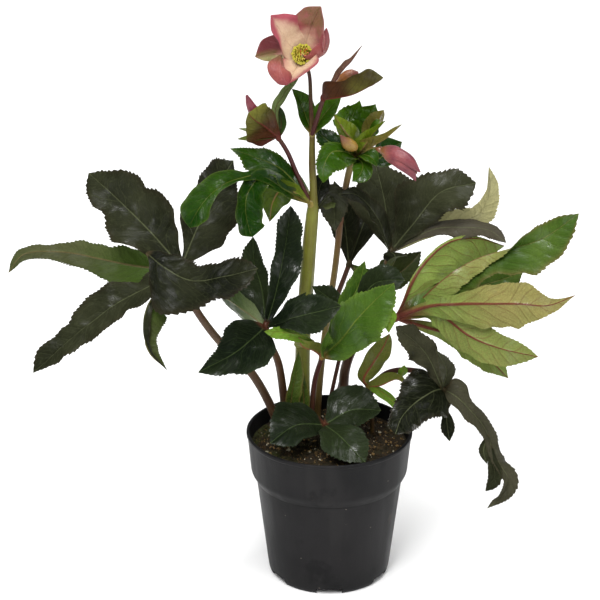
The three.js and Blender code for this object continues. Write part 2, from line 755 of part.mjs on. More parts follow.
function soilSolid(holes) {
  const random = randomSource(SEED);
  const { rings, sectors, top, crown, bump } = SOIL;
  const points = [new THREE.Vector3(0, 0, top + crown)];
  const faces = [];
  const outer = insideRadius(top);
  for (let i = 1; i <= rings; i++) {
    for (let k = 0; k < sectors; k++) {
      const angle = (2 * Math.PI * k) / sectors;
      const reach = i / rings;
      const lump = i < rings ? bump * (2 * random() - 1) : 0;
      const height = top + crown * (1 - reach * reach) + lump;
      const out = outer * reach;
      points.push(new THREE.Vector3(out * Math.cos(angle), out * Math.sin(angle), height));
    }
  }
  const levels = [POT.bandLow, POT.shoulder, POT.floorHigh + GAP];
  for (const z of levels) {
    const radius = insideRadius(z);
    for (let k = 0; k < sectors; k++) {
      const angle = (2 * Math.PI * k) / sectors;
      points.push(new THREE.Vector3(radius * Math.cos(angle), radius * Math.sin(angle), z));
    }
  }
  const total = rings + levels.length;
  for (let k = 0; k < sectors; k++) {
    const next = (k + 1) % sectors;
    faces.push([0, 1 + k, 1 + next]);
    for (let i = 0; i < total - 1; i++) {
      const a = 1 + i * sectors;
      faces.push([a + k, a + sectors + k, a + sectors + next], [a + k, a + sectors + next, a + next]);
    }
  }
  const last = 1 + (total - 1) * sectors;
  for (let k = 1; k < sectors - 1; k++) faces.push([last, last + k + 1, last + k]);
  const crumbs = [];
  for (let i = 0; i < SOIL.crumbs; i++) {
    const angle = 2 * Math.PI * random();
    const reach = (outer - SOIL.margin) * Math.sqrt(random());
    const size = SOIL.crumbSize * (0.7 + 0.6 * random());
    const height = top + crown * (1 - (reach / outer) ** 2);
    const lump = new THREE.OctahedronGeometry(size, 0).rotateX(random() * 3).rotateZ(random() * 3);
    lump.translate(reach * Math.cos(angle), reach * Math.sin(angle), height);
    crumbs.push(solidOf(lump));
  }
  const body = Manifold.union([solidFrom(points, faces), ...crumbs]);
  return body.subtract(Manifold.union(holes));
}

// --- Stamens ---

// A boss with a ring of stamens round it, and a few styles in the middle.
function stamenSolid(room) {
  const random = randomSource(SEED + 1);
  const axis = vec(FLOWER.axis).normalize();
  const right = axis.clone().negate().cross(new THREE.Vector3(0, 0, 1)).normalize();
  const up = right.clone().cross(axis.clone().negate());
  const centre = vec(FLOWER.centre);
  const at = (out, angle, along) =>
    centre
      .clone()
      .addScaledVector(right, out * Math.cos(angle))
      .addScaledVector(up, out * Math.sin(angle))
      .addScaledVector(axis, along)
      .toArray();
  const parts = [knobSolid(at(0, 0, -1), FLOWER.boss)];
  for (let i = 0; i < FLOWER.stamens; i++) {
    const angle = (2 * Math.PI * (i + 0.4 * random())) / FLOWER.stamens;
    const out = FLOWER.stamenRing * (0.9 + 0.3 * random());
    const path = [at(2, angle, -1), at(out * 0.9, angle, 2.4), at(out * 1.05, angle, 5)];
    parts.push(stemSolid({ path, radii: [0.7, 0.6, 1.2], sides: 4, steps: 2 }));
  }
  for (let i = 0; i < 3; i++) {
    const angle = (2 * Math.PI * i) / 3 + 0.5;
    const path = [at(0.8, angle, 1), at(1.4, angle, 5), at(2.4, angle, 8)];
    parts.push(stemSolid({ path, radii: [0.7, 0.5, 0.4], sides: 4, steps: 2 }));
  }
  return Manifold.union(parts).subtract(room);
}

// --- Everything in its place ---

const mainRoom = branchedSolid(MAIN_STEM, GAP);
const secondRoom = branchedSolid(SECOND_STEM, GAP);
const roomFor = (stem) => (stem === MAIN_STEM ? mainRoom : secondRoom);
const holes = [stemSolid(MAIN_STEM[0], GAP), stemSolid(SECOND_STEM[0], GAP)];

group.add(meshOf("pot", potSolid(), FINISH.pot));
group.add(meshOf("stem_main", branchedSolid(MAIN_STEM), FINISH.stem));
group.add(meshOf("stem_second", branchedSolid(SECOND_STEM), FINISH.redStem));

for (const [name, leaf] of Object.entries(LEAVES)) {
  const stem = { path: leaf.petiole, radii: leaf.radii };
  const room = stemSolid(stem, GAP);
  holes.push(room);
  const blades = rosetteSolid(leaf.petiole.at(-1), leaf.leaflets, room);
  group.add(meshOf(`leaf_${name}`, blades, FINISH[leaf.material]));
  group.add(meshOf(`petiole_${name}`, stemSolid(stem), FINISH.petiole));
}

for (const [name, bracts] of Object.entries(BRACTS)) {
  const solid = rosetteSolid(bracts.hub, bracts.blades, roomFor(bracts.stem), bracts.knob);
  group.add(meshOf(name, solid, FINISH[bracts.material]));
}

for (const [name, bud] of Object.entries(BUDS)) {
  const solid = stemSolid({ ...bud, sides: 9, steps: 6, lobes: 3 });
  group.add(meshOf(name, solid.subtract(roomFor(bud.stem)), FINISH.bud));
}

for (const [name, shoot] of Object.entries(SHOOTS)) {
  const top = shoot.foot.path.at(-1);
  const sheath = { ...shoot.sheath, path: [top, ...shoot.sheath.path], stalk: 3, teeth: false };
  holes.push(stemSolid(shoot.foot, GAP));
  group.add(meshOf(name, stemSolid(shoot.foot).add(bladeSolid(sheath)), FINISH.shoot));
}

const sepal = (blade) => ({ teeth: false, full: 0.8, stalk: 3, thickness: 1, ...blade });
const stamens = stamenSolid(mainRoom);
const petals = rosetteSolid(FLOWER.receptacle, FLOWER.sepals.map(sepal), mainRoom, 4);
group.add(meshOf("flower_sepals", petals, FINISH.sepal));
group.add(meshOf("flower_stamens", stamens, FINISH.stamen));
const halfOpen = rosetteSolid(HALF_OPEN.neck, HALF_OPEN.sepals.map(sepal), secondRoom, 3);
group.add(meshOf("flower_half_open", halfOpen, FINISH.bud));

group.add(meshOf("soil", soilSolid(holes), FINISH.soil));

export default group;
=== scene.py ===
import math

import bmesh
import bpy
import numpy as np
from mathutils import Matrix, Vector


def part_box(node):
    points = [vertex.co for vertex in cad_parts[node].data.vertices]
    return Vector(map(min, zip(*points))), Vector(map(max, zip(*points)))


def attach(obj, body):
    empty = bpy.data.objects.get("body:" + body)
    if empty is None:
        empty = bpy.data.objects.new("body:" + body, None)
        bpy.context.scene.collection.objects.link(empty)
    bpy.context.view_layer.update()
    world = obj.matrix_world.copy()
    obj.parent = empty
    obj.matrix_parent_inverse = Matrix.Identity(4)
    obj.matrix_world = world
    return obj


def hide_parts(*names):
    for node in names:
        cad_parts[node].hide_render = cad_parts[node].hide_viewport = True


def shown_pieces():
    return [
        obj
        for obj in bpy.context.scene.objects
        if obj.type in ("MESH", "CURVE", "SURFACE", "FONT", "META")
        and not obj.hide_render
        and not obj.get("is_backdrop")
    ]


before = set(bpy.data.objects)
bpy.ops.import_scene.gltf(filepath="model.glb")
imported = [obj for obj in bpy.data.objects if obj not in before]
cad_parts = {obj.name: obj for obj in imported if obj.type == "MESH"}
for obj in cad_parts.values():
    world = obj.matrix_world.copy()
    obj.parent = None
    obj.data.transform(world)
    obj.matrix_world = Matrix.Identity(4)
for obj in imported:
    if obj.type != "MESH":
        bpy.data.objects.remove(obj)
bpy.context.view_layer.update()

mm = 0.001
potLow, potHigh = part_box("pot")
# All places below are in millimetres from the pot's axis, on the surface that it stands on.
potAxis = np.array([(potLow.x + potHigh.x) / 2, (potLow.y + potHigh.y) / 2, 0.0])


def atPlace(points):
    return np.asarray(points, float) * mm + potAxis


# Colours are typed as red, green and blue from 0 to 255, and a socket takes them in linear light.
def linear(red, green, blue):
    share = [value / 255 for value in (red, green, blue)]
    return [v / 12.92 if v <= 0.04045 else ((v + 0.055) / 1.055) ** 2.4 for v in share] + [1.0]


# Helpers for node trees. A value is a number or another node's output.
def addNode(tree, kind, inputs=None, **settings):
    node = tree.nodes.new(kind)
    for key, value in settings.items():
        setattr(node, key, value)
    for key, value in (inputs or {}).items():
        if isinstance(value, bpy.types.NodeSocket):
            tree.links.new(value, node.inputs[key])
        else:
            node.inputs[key].default_value = value
    return node


def calc(tree, operation, a, b=0.0, c=0.0):
    return addNode(tree, "ShaderNodeMath", {0: a, 1: b, 2: c}, operation=operation).outputs[0]


def times(tree, a, b):
    return calc(tree, "MULTIPLY", a, b)


def timesPlus(tree, a, b, c):
    return calc(tree, "MULTIPLY_ADD", a, b, c)


def centred(tree, value):
    return calc(tree, "SUBTRACT", value, 0.5)


def vectorOf(tree, x, y=0.0, z=0.0):
    return addNode(tree, "ShaderNodeCombineXYZ", {0: x, 1: y, 2: z}).outputs[0]


def partsOf(tree, vector):
    return addNode(tree, "ShaderNodeSeparateXYZ", {0: vector}).outputs


def scaled(tree, vector, scale):
    return addNode(tree, "ShaderNodeVectorMath", {0: vector, "Scale": scale}, operation="SCALE").outputs[0]


def fade(tree, value, fromMin, fromMax, toMin=0.0, toMax=1.0):
    inputs = {"Value": value, "From Min": fromMin, "From Max": fromMax, "To Min": toMin, "To Max": toMax}
    return addNode(tree, "ShaderNodeMapRange", inputs, interpolation_type="SMOOTHSTEP").outputs["Result"]


def blendColours(tree, share, a, b, mode="MIX"):
    node = addNode(tree, "ShaderNodeMix", {0: share}, data_type="RGBA", blend_type=mode)
    for socket, value in ((node.inputs[6], a), (node.inputs[7], b)):
        if isinstance(value, bpy.types.NodeSocket):
            tree.links.new(value, socket)
        else:
            socket.default_value = linear(*value)
    return node.outputs[2]


def noiseOf(tree, vector, scale, detail=2.0, roughness=0.5):
    inputs = {"Vector": vector, "Scale": scale, "Detail": detail, "Roughness": roughness}
    return addNode(tree, "ShaderNodeTexNoise", inputs).outputs[0]


def namedVector(tree, name):
    return partsOf(tree, addNode(tree, "ShaderNodeAttribute", attribute_name=name).outputs["Vector"])


def namedValue(tree, name):
    return addNode(tree, "ShaderNodeAttribute", attribute_name=name).outputs["Fac"]


def newMaterial(name, **fixed):
    material = bpy.data.materials.new(name)
    material.use_nodes = True
    tree = material.node_tree
    shader = tree.nodes["Principled BSDF"]
    for key, value in fixed.items():
        shader.inputs[key.replace("_", " ")].default_value = value
    coordinates = addNode(tree, "ShaderNodeTexCoord").outputs["Object"]
    return material, tree, shader, coordinates


def finishFrom(tree, shader, colour, roughness, height, distance):
    bump = addNode(tree, "ShaderNodeBump", {"Height": height, "Distance": distance, "Strength": 1.0})
    tree.links.new(colour, shader.inputs["Base Color"])
    tree.links.new(roughness, shader.inputs["Roughness"])
    tree.links.new(bump.outputs[0], shader.inputs["Normal"])
    tree.links.new(bump.outputs[0], shader.inputs["Coat Normal"])


# Helpers for geometry trees.
def geometryTree(name, inputs):
    tree = bpy.data.node_groups.new(name, "GeometryNodeTree")
    tree.interface.new_socket("Geometry", in_out="INPUT", socket_type="NodeSocketGeometry")
    for label, kind, value in inputs:
        socket = tree.interface.new_socket(label, in_out="INPUT", socket_type="NodeSocket" + kind)
        if value is not None:
            socket.default_value = value
    tree.interface.new_socket("Geometry", in_out="OUTPUT", socket_type="NodeSocketGeometry")
    return tree, tree.nodes.new("NodeGroupInput").outputs


def positionOf(tree):
    return addNode(tree, "GeometryNodeInputPosition").outputs[0]


def moved(tree, geometry, **change):
    return addNode(tree, "GeometryNodeSetPosition", {"Geometry": geometry, **change}).outputs[0]


def transformed(tree, geometry, **change):
    return addNode(tree, "GeometryNodeTransform", {"Geometry": geometry, **change}).outputs[0]


def storedValue(tree, name):
    node = addNode(tree, "GeometryNodeInputNamedAttribute", {"Name": name}, data_type="FLOAT")
    return node.outputs["Attribute"]


def storeValue(tree, geometry, name, value, domain="POINT"):
    inputs = {"Geometry": geometry, "Name": name, "Value": value}
    kind = "GeometryNodeStoreNamedAttribute"
    return addNode(tree, kind, inputs, data_type="FLOAT", domain=domain).outputs[0]


def randomNumber(tree, low, high, seed):
    inputs = {2: low, 3: high, "Seed": seed}
    return addNode(tree, "FunctionNodeRandomValue", inputs, data_type="FLOAT").outputs[1]


def randomVector(tree, low, high, seed):
    inputs = {0: low, 1: high, "Seed": seed}
    return addNode(tree, "FunctionNodeRandomValue", inputs, data_type="FLOAT_VECTOR").outputs[0]


def instancesOn(tree, points, shape, rotation, scale):
    inputs = {"Points": points, "Instance": shape, "Rotation": rotation, "Scale": scale}
    return addNode(tree, "GeometryNodeInstanceOnPoints", inputs).outputs[0]


def joinGeometry(tree, parts):
    joined = tree.nodes.new("GeometryNodeJoinGeometry")
    for part in parts:
        tree.links.new(part, joined.inputs[0])
    return joined.outputs[0]


def finishTree(tree, geometry, material):
    real = addNode(tree, "GeometryNodeRealizeInstances", {"Geometry": geometry})
    finished = addNode(tree, "GeometryNodeSetMaterial", {"Geometry": real.outputs[0], "Material": material})
    output = tree.nodes.new("NodeGroupOutput")
    tree.links.new(finished.outputs[0], output.inputs[0])


def runTree(source, tree, values):
    modifier = source.modifiers.new("made", "NODES")
    modifier.node_group = tree
    for item in tree.interface.items_tree:
        if item.in_out == "INPUT" and item.name in values:
            modifier[item.identifier] = values[item.name]
    source.update_tag()
    ready = source.evaluated_get(bpy.context.evaluated_depsgraph_get())
    made = bpy.data.meshes.new_from_object(ready)
    old = source.data
    bpy.data.objects.remove(source)
    bpy.data.meshes.remove(old)
    return made


# Mesh helpers. A part is its points in millimetres, its faces and its named values.
def addObject(name, data):
    made = bpy.data.objects.new(name, data)
    bpy.context.scene.collection.objects.link(made)
    return made


def joinParts(parts):
    points, faces, values = [], [], {}
    start = 0
    for part in parts:
        points.append(np.asarray(part["points"], float))
        faces += [tuple(index + start for index in face) for face in part["faces"]]
        for name, value in part["values"].items():
            values.setdefault(name, []).append(value)
        start += len(part["points"])
    joined = {name: np.concatenate(value) for name, value in values.items()}
    return {"points": np.concatenate(points), "faces": faces, "values": joined}


def addValues(mesh, values):
    for name, value in values.items():
        isVector = value.ndim == 2
        attribute = mesh.attributes.new(name, "FLOAT_VECTOR" if isVector else "FLOAT", "POINT")
        attribute.data.foreach_set("vector" if isVector else "value", value.astype(np.float32).ravel())


def meshOf(name, part):
    mesh = bpy.data.meshes.new(name)
    mesh.from_pydata(atPlace(part["points"]).tolist(), [], part["faces"])
    addValues(mesh, part["values"])
    return mesh


# The finished materials by the names of their slots, filled in as each kind is made.
finishes = {}


def pieceName(node):
    first, *others = node.split("_")
    return first + "".join(word.capitalize() for word in others)


def addPiece(name, mesh, slotName, nodes, sharpAngle=50):
    mesh.name = name
    if not mesh.materials:
        mesh.materials.append(finishes[slotName])
    mesh.shade_smooth()
    mesh.set_sharp_from_angle(angle=math.radians(sharpAngle))
    piece = addObject(name, mesh)
    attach(piece, "root")
    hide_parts(*nodes)
    return piece


def unit(vectors):
    vectors = np.asarray(vectors, float)
    return vectors / np.maximum(np.linalg.norm(vectors, axis=-1, keepdims=True), 1e-9)


# A smooth curve through points, from t = 0 at the first to t = 1 at the last.
def curveAt(points, t):
    known = np.asarray(points, float)
    held = np.vstack([2 * known[0] - known[1], known, 2 * known[-1] - known[-2]])
    place = np.asarray(t, float) * (len(known) - 1)
    first = np.clip(np.floor(place).astype(int), 0, len(known) - 2)
    w = (place - first)[..., None]
    a, b, c, d = (held[first + step] for step in range(4))
    return 0.5 * (2 * b + (c - a) * w + (2 * a - 5 * b + 4 * c - d) * w**2 + (3 * b - a - 3 * c + d) * w**3)


def tangentAt(points, t):
    step = 1e-3
    return unit(curveAt(points, np.asarray(t) + step) - curveAt(points, np.asarray(t) - step))


# Values spread evenly from t = 0 to t = 1.
def spread(values, t):
    return np.interp(t, np.linspace(0, 1, len(values)), values)


# The camera, the lights and the floor. Places are in metres.
view = {
    "place": (0.0045, -1.655, 0.9063),
    "tiltDown": 22.6,
    "lens": 137.9,
    "sensor": 36.0,
    "floorColour": (0.97, 0.97, 0.97),
    "floorReach": 6.0,
    "skyStrength": 0.34,
    "lightAim": (0, 0, 0.2),
    "lights": (
        # name, kind, place, size in metres or degrees, power
        ("daylight", "SUN", (-0.2, -0.7, 2.0), 60.0, 2.45),
        ("sheenLight", "AREA", (-0.3, -1.1, 1.9), 0.5, 11.0),
        ("keyLight", "AREA", (-0.35, -1.7, 1.8), 0.5, 14.0),
        ("topLight", "AREA", (0.5, 0.4, 1.95), 0.55, 14.0),
        ("fillLight", "AREA", (1.4, -1.2, 0.8), 0.6, 6.0),
    ),
}


def makeCamera():
    camera = addObject("viewCamera", bpy.data.cameras.new("viewCamera"))
    camera.location = view["place"]
    camera.rotation_euler = (math.radians(90 - view["tiltDown"]), 0, 0)
    camera.data.lens = view["lens"]
    camera.data.sensor_width = view["sensor"]
    bpy.context.scene.camera = camera


def makeLights():
    for name, kind, place, size, power in view["lights"]:
        lamp = bpy.data.lights.new(name, kind)
        lamp.energy = power
        if kind == "SUN":
            lamp.angle = math.radians(size)
        else:
            lamp.size = size
        light = addObject(name, lamp)
        light.location = place
        aim = Vector(view["lightAim"]) - Vector(place)
        light.rotation_euler = aim.to_track_quat("-Z", "Y").to_euler()
    world = bpy.data.worlds.new("studio")
    world.use_nodes = True
    sky = world.node_tree.nodes["Background"].inputs
    sky["Color"].default_value = (1, 1, 1, 1)
    sky["Strength"].default_value = view["skyStrength"]
    bpy.context.scene.world = world
    bpy.context.scene.view_settings.view_transform = "Standard"


def makeFloor():
    mesh = bpy.data.meshes.new("floor")
    reach = view["floorReach"]
    corners = [(-reach, -reach, 0), (reach, -reach, 0), (reach, reach, 0), (-reach, reach, 0)]
    mesh.from_pydata(corners, [], [(0, 1, 2, 3)])
    material, _, shader, _ = newMaterial("paleFloor", Roughness=0.9)
    shader.inputs["Base Color"].default_value = (*view["floorColour"], 1)
    mesh.materials.append(material)
    addObject("floor", mesh)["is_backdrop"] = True


makeCamera()
makeLights()
makeFloor()
print("camera, light and floor made")

# What a blade has unless its own line says otherwise. A length is in millimetres and an angle in degrees.
# Where it says so below, a setting may also be a list of values from the blade's base to its tip.
bladeLook = {
    "start": None,  # where the blade starts, if that isn't the hub
    "thickness": 0.5,
    "edgeThickness": 0.2,
    "left": None,  # half widths on the left of the midrib, as a list
    "right": None,
    "half": 15,  # without those lists, the widest half width
    "peak": 0.55,  # and where along the blade it is
    "full": 1.15,  # lower makes the blade rounder
    "stalk": 1.3,  # and the half width at its foot
    "fold": 12,  # how steeply the halves rise from the midrib, or a list
    "foldLeft": None,
    "foldRight": None,
    "bend": 0,  # how much more steeply at the margin, or a list
    "bendLeft": None,
    "bendRight": None,
    "cup": 0.0,
    "wave": 0.0,
    "waves": 2.0,
    "phase": 0.0,
    "crumple": 1.0,
    "ragged": 0.05,  # how much the margin wanders, as a share of the width
    "teeth": True,
    "toothDepth": 0.9,
    "toothPitch": 2.9,
    "rowPitch": 1.5,  # for blades without teeth
    "quilt": 0.25,
    "veinPitch": 13,
    "ribDepth": 0.9,
    "ribWidth": 1.0,
    "tone": None,  # 0 to 1 is the shade of its colour, over 1 is paler, and under 0 is dark and wet
}
# What all blades share. Waves are given as pairs of length and height.
bladeForm = {
    "midribSteps": 200,
    "leastWidth": 0.05,
    "leastTeeth": 6,
    "leastRows": 18,
    "bendPower": 1.5,
    "marginWaves": ((5.5, 1.0), (2.6, 0.7)),
    "farSidePhase": 1.9,  # the left margin's wave runs ahead of the right one's
    "ruffleLength": 2.4,
    "ruffleShare": 0.25,
    "crumpleLengths": (42, 29, 19, 12),
    "crumpleWidth": 10,  # narrower blades crumple less
    "crumpleInside": 0.25,  # the share of it that reaches the midrib
    "quiltWidth": 12,
    "bulgePower": 0.8,
    "bulgeStart": 2.5,  # how fast the bulges rise from the midrib
    "grooveDepth": 0.3,
    "grooveWidth": 0.9,
    "grooveFullWidth": 6,
    "edgePower": 6,  # higher keeps the blade thick up to its margin
    "ribTaper": 0.7,
    "ribLeast": 0.4,
}
teeth = {
    "rows": (0.0, 0.6, 1.0),  # how far each of a tooth's rows stands out
    "sizes": (0.45, 1.35),
    "start": 0.14,  # they grow from here along the blade
    "growth": 0.2,
    "fullWidth": 7,
    "lean": 0.3,  # how far the line beside the margin follows them
}
# How the side veins run, in vein spacings: they leave the midrib forwards and bend to the tip.
veinRun = {"slope": 1.05, "bend": 0.12, "stagger": 0.45, "wander": 0.4, "wanderSteps": (1.3, 2.9),
           "wanderTurn": 0.9, "fullWidth": 20, "narrowShare": 0.6}

# Shares of a half width at which a row has its points, closer together near the midrib.
shares = np.array([0, 0.1, 0.2, 0.3, 0.4, 0.5, 0.6, 0.7, 0.8, 0.9, 0.95, 0.985, 1]) ** 1.5


# A blade by its path from the hub to the tip, the way its upper side faces, the half widths on its left
# and its right, and whatever else it has from the settings above.
def blade(path, face, left=None, right=None, **others):
    return {"path": path, "face": face, "left": left, "right": right, **others}


# A setting at t along the blade, where it is one number or a list from the base to the tip.
def atStation(setting, t):
    stops = np.atleast_1d(np.asarray(setting, float))
    if len(stops) == 1:
        return np.full(len(t), stops[0])
    return curveAt(stops[:, None], t)[:, 0]


# Stations along the midrib, with the directions along it, across it and up from it.
def midribOf(look, hub):
    path = [look["start"] or hub, *look["path"]]
    stops = np.linspace(0, 1, bladeForm["midribSteps"])
    steps = np.linalg.norm(np.diff(curveAt(path, stops), axis=0), axis=1)
    travelled = np.concatenate([[0], np.cumsum(steps)])
    length = travelled[-1]
    if look["teeth"]:
        rows = len(teeth["rows"]) * max(bladeForm["leastTeeth"], round(length / look["toothPitch"]))
    else:
        rows = max(bladeForm["leastRows"], round(length / look["rowPitch"]))
    t = np.arange(rows) / rows
    along = tangentAt(path, t)
    side = unit(np.cross(along, np.asarray(look["face"], float)))
    return {
        "t": t,
        "length": length,
        "distance": np.interp(t, stops, travelled)[:, None],
        "centre": curveAt(path, t),
        "tip": curveAt(path, 1.0),
        "along": along,
        "side": side,
        "up": np.cross(side, along),
    }


# One half of the blade: its width at each station, how far it reaches out from the midrib and up from
# it at each share of that width, and how steep it is at the margin.
def halfOf(look, hand, midrib, rng):
    t = midrib["t"]
    if look[hand] is None:
        power = math.log(0.5) / math.log(look["peak"])
        swell = np.clip(np.sin(np.pi * t**power), 0, None) ** look["full"]
        width = look["stalk"] * (1 - t) + look["half"] * swell
    else:
        width = np.clip(atStation(look[hand], t), bladeForm["leastWidth"], None)
    wander = 0
    shifts = rng.uniform(0, 2 * np.pi, len(bladeForm["marginWaves"]))
    for (wavelength, height), shift in zip(bladeForm["marginWaves"], shifts):
        wander = wander + height * np.sin(midrib["length"] * t / wavelength + shift)
    width = width * (1 + look["ragged"] * wander)
    angles = []
    for kind in ("fold", "bend"):
        own = look[kind + hand.capitalize()]
        angles.append(atStation(look[kind] if own is None else own, t)[:, None])
    steps = np.diff(shares, prepend=0)
    angle = np.radians(angles[0] + angles[1] * (shares - steps / 2) ** bladeForm["bendPower"])
    return {
        "width": width,
        "out": np.cumsum(np.cos(angle) * steps, axis=1) * width[:, None],
        "rise": np.cumsum(np.sin(angle) * steps, axis=1) * width[:, None],
        "marginAngle": angle[:, -1],
    }


# Teeth push the margins out, and the answer is how far each point moves towards the tip with them.
def addTeeth(look, t, halves, out, rise, rng):
    forward = np.zeros(out.shape)
    if not look["teeth"]:
        return forward
    shape, count = np.array(teeth["rows"]), len(teeth["rows"])
    size = look["toothDepth"] * np.clip((t - teeth["start"]) / teeth["growth"], 0, 1)
    for half, column, shift in ((halves[0], 0, 0), (halves[1], -1, 1)):
        place = np.arange(len(t)) + shift
        own = rng.uniform(*teeth["sizes"], len(t) // count + 2)[place // count]
        tooth = shape[place % count] * own * size * np.minimum(1, half["width"] / teeth["fullWidth"])
        out[:, column] += tooth * np.cos(half["marginAngle"])
        rise[:, column] += tooth * np.sin(half["marginAngle"])
        forward[:, column] = tooth
    forward[:, 1], forward[:, -2] = forward[:, 0] * teeth["lean"], forward[:, -1] * teeth["lean"]
    return forward


# The waves, the ruffles and the gentle unevenness of a whole blade, as heights over its plain form.
def unevennessOf(look, t, distance, across, out, width, rng):
    reach, hand = np.abs(across), np.sign(across)
    ahead = np.where(across < 0, bladeForm["farSidePhase"], 0)
    phase = 2 * np.pi * look["waves"] * t + ahead + look["phase"]
    swing = np.sin(np.pi * t) ** 0.5
    ripple = look["wave"] * reach**2 * np.sin(phase)
    ruffle = rng.uniform(0, 6, 2)
    ruffles = np.sin(distance / bladeForm["ruffleLength"] + ruffle[0] + hand * ruffle[1])
    ripple = ripple + bladeForm["ruffleShare"] * look["wave"] * reach**3 * ruffles
    rise = look["cup"] * out * reach + ripple * swing
    uneven = 0
    longest = bladeForm["crumpleLengths"][0]
    for wavelength in bladeForm["crumpleLengths"]:
        turn, shift = rng.uniform(0, 2 * np.pi, 2)
        run = (distance * math.cos(turn) + hand * out * math.sin(turn)) / wavelength
        uneven = uneven + wavelength / longest * np.sin(2 * np.pi * run + shift)
    inside = bladeForm["crumpleInside"]
    size = np.minimum(1, width / bladeForm["crumpleWidth"]) * (inside + (1 - inside) * reach)
    return rise + look["crumple"] * uneven * size * swing


# Where each point lies among the side veins: how far out, and which vein along the blade.
def veinPlaces(look, distance, across, width, widest, rng):
    narrow = veinRun["narrowShare"]
    pitch = look["veinPitch"] * (narrow + (1 - narrow) * min(1, widest / veinRun["fullWidth"]))
    away = np.abs(across) * width / pitch
    run = distance / pitch - veinRun["slope"] * away - veinRun["bend"] * away**2
    run = run + veinRun["stagger"] * np.where(across < 0, 1, np.where(across > 0, 0, 0.5))
    for step in veinRun["wanderSteps"]:
        turn = rng.uniform(-veinRun["wanderTurn"], veinRun["wanderTurn"])
        shift = rng.uniform(0, 6)
        bent = step * (distance / pitch + turn * away * np.sign(across)) + shift
        run = run + veinRun["wander"] / step * np.sin(bent)
    return away, run


# The faces of two grids of points, the upper one first, closed round the margins and at the tip.
def bladeFaces(rows, columns):
    top = np.arange(rows * columns).reshape(rows, columns)
    bottom = top + rows * columns
    end = 2 * rows * columns
    rings = (
        (top[:-1, :-1], top[:-1, 1:], top[1:, 1:], top[1:, :-1]),
        (bottom[:-1, :-1], bottom[1:, :-1], bottom[1:, 1:], bottom[:-1, 1:]),
        (top[:-1, -1], bottom[:-1, -1], bottom[1:, -1], top[1:, -1]),
        (bottom[:-1, 0], top[:-1, 0], top[1:, 0], bottom[1:, 0]),
        (top[0, :-1], bottom[0, :-1], bottom[0, 1:], top[0, 1:]),
    )
    faces = []
    for corners in rings:
        faces += np.stack(corners, -1).reshape(-1, 4).tolist()
    faces += [(a, b, end) for a, b in zip(top[-1, :-1], top[-1, 1:])]
    faces += [(b, a, end) for a, b in zip(bottom[-1, :-1], bottom[-1, 1:])]
    return faces + [(top[-1, -1], bottom[-1, -1], end), (bottom[-1, 0], top[-1, 0], end)]


# A closed blade from its hub to its tip. Its named values tell the finish where a point lies: "vein" is
# its place among the veins and the blade's tone, "place" is its reach to the margin, t and its side.
def bladePart(hub, given, rng):
    look = {**bladeLook, **given}
    midrib = midribOf(look, hub)
    left, right = halves = [halfOf(look, hand, midrib, rng) for hand in ("left", "right")]
    t, distance = midrib["t"][:, None], midrib["distance"]
    across = np.concatenate([-shares[:0:-1], shares])[None, :]  # -1 at the left margin, 1 at the right one
    reach, hand = np.abs(across), np.sign(across)
    rows, columns = len(t), across.shape[1]
    width = np.where(across < 0, left["width"][:, None], right["width"][:, None])
    out, rise = (np.concatenate([left[key][:, :0:-1], right[key]], axis=1) for key in ("out", "rise"))

    forward = addTeeth(look, midrib["t"], halves, out, rise, rng)
    rise = rise + unevennessOf(look, t, distance, across, out, width, rng)
    away, run = veinPlaces(look, distance, across, width, float(left["width"].max()), rng)
    form = bladeForm
    bulge = np.abs(np.sin(np.pi * run)) ** form["bulgePower"] * np.minimum(1, width / form["quiltWidth"])
    rise = rise + look["quilt"] * bulge * (1 - reach**3) * np.minimum(1, away * form["bulgeStart"])
    groove = np.exp(-((reach * width / form["grooveWidth"]) ** 2))
    rise = rise - form["grooveDepth"] * groove * np.minimum(1, width / form["grooveFullWidth"])

    middle = midrib["centre"][:, None, :] + (hand * out)[..., None] * midrib["side"][:, None, :]
    middle = middle + rise[..., None] * midrib["up"][:, None, :]
    middle = middle + forward[..., None] * midrib["along"][:, None, :]
    normal = unit(np.cross(np.gradient(middle, axis=1), np.gradient(middle, axis=0)))
    thinning = (look["thickness"] - look["edgeThickness"]) * (1 - reach ** form["edgePower"])
    thickness = (look["edgeThickness"] + thinning) * np.ones((rows, 1))
    taper = (1 - t) ** form["ribTaper"]
    ribWidth = look["ribWidth"] * (form["ribLeast"] + taper)
    rib = look["ribDepth"] * taper * np.exp(-((reach * width / ribWidth) ** 2))
    upper = middle + normal * (thickness / 2)[..., None]
    lower = middle - normal * (thickness / 2 + rib)[..., None]

    tone = rng.uniform(0, 1) if look["tone"] is None else look["tone"]
    vein = np.stack([away * hand, run, np.full((rows, columns), tone)], -1).reshape(-1, 3)
    place = np.stack([reach + 0 * t, t + 0 * across, np.zeros((rows, columns))], -1).reshape(-1, 3)
    tipVein = [[0, float(run[-1, len(shares) - 1]), tone]]
    values = {
        "vein": np.concatenate([vein, vein, tipVein]),
        "place": np.concatenate([place + np.array([0, 0, 1.0]), place, [[0, 1, 0.5]]]),
    }
    points = np.concatenate([upper.reshape(-1, 3), lower.reshape(-1, 3), midrib["tip"][None, :]])
    return {"points": points, "faces": bladeFaces(rows, columns), "values": values}


# The joint where the blades of a leaf meet, drawn out along the stalk that carries it.
def jointPart(centre, along, radius):
    ball = bmesh.new()
    bmesh.ops.create_icosphere(ball, subdivisions=3, radius=1.0)
    points = np.array([vertex.co for vertex in ball.verts])
    faces = [tuple(vertex.index for vertex in face.verts) for face in ball.faces]
    ball.free()
    axis = unit(along)
    points = points * radius + np.outer(points @ axis, axis) * radius * 0.5
    points = points + np.asarray(centre, float)
    still = np.zeros((len(points), 3))
    return {"points": points, "faces": faces, "values": {"vein": still, "place": still}}


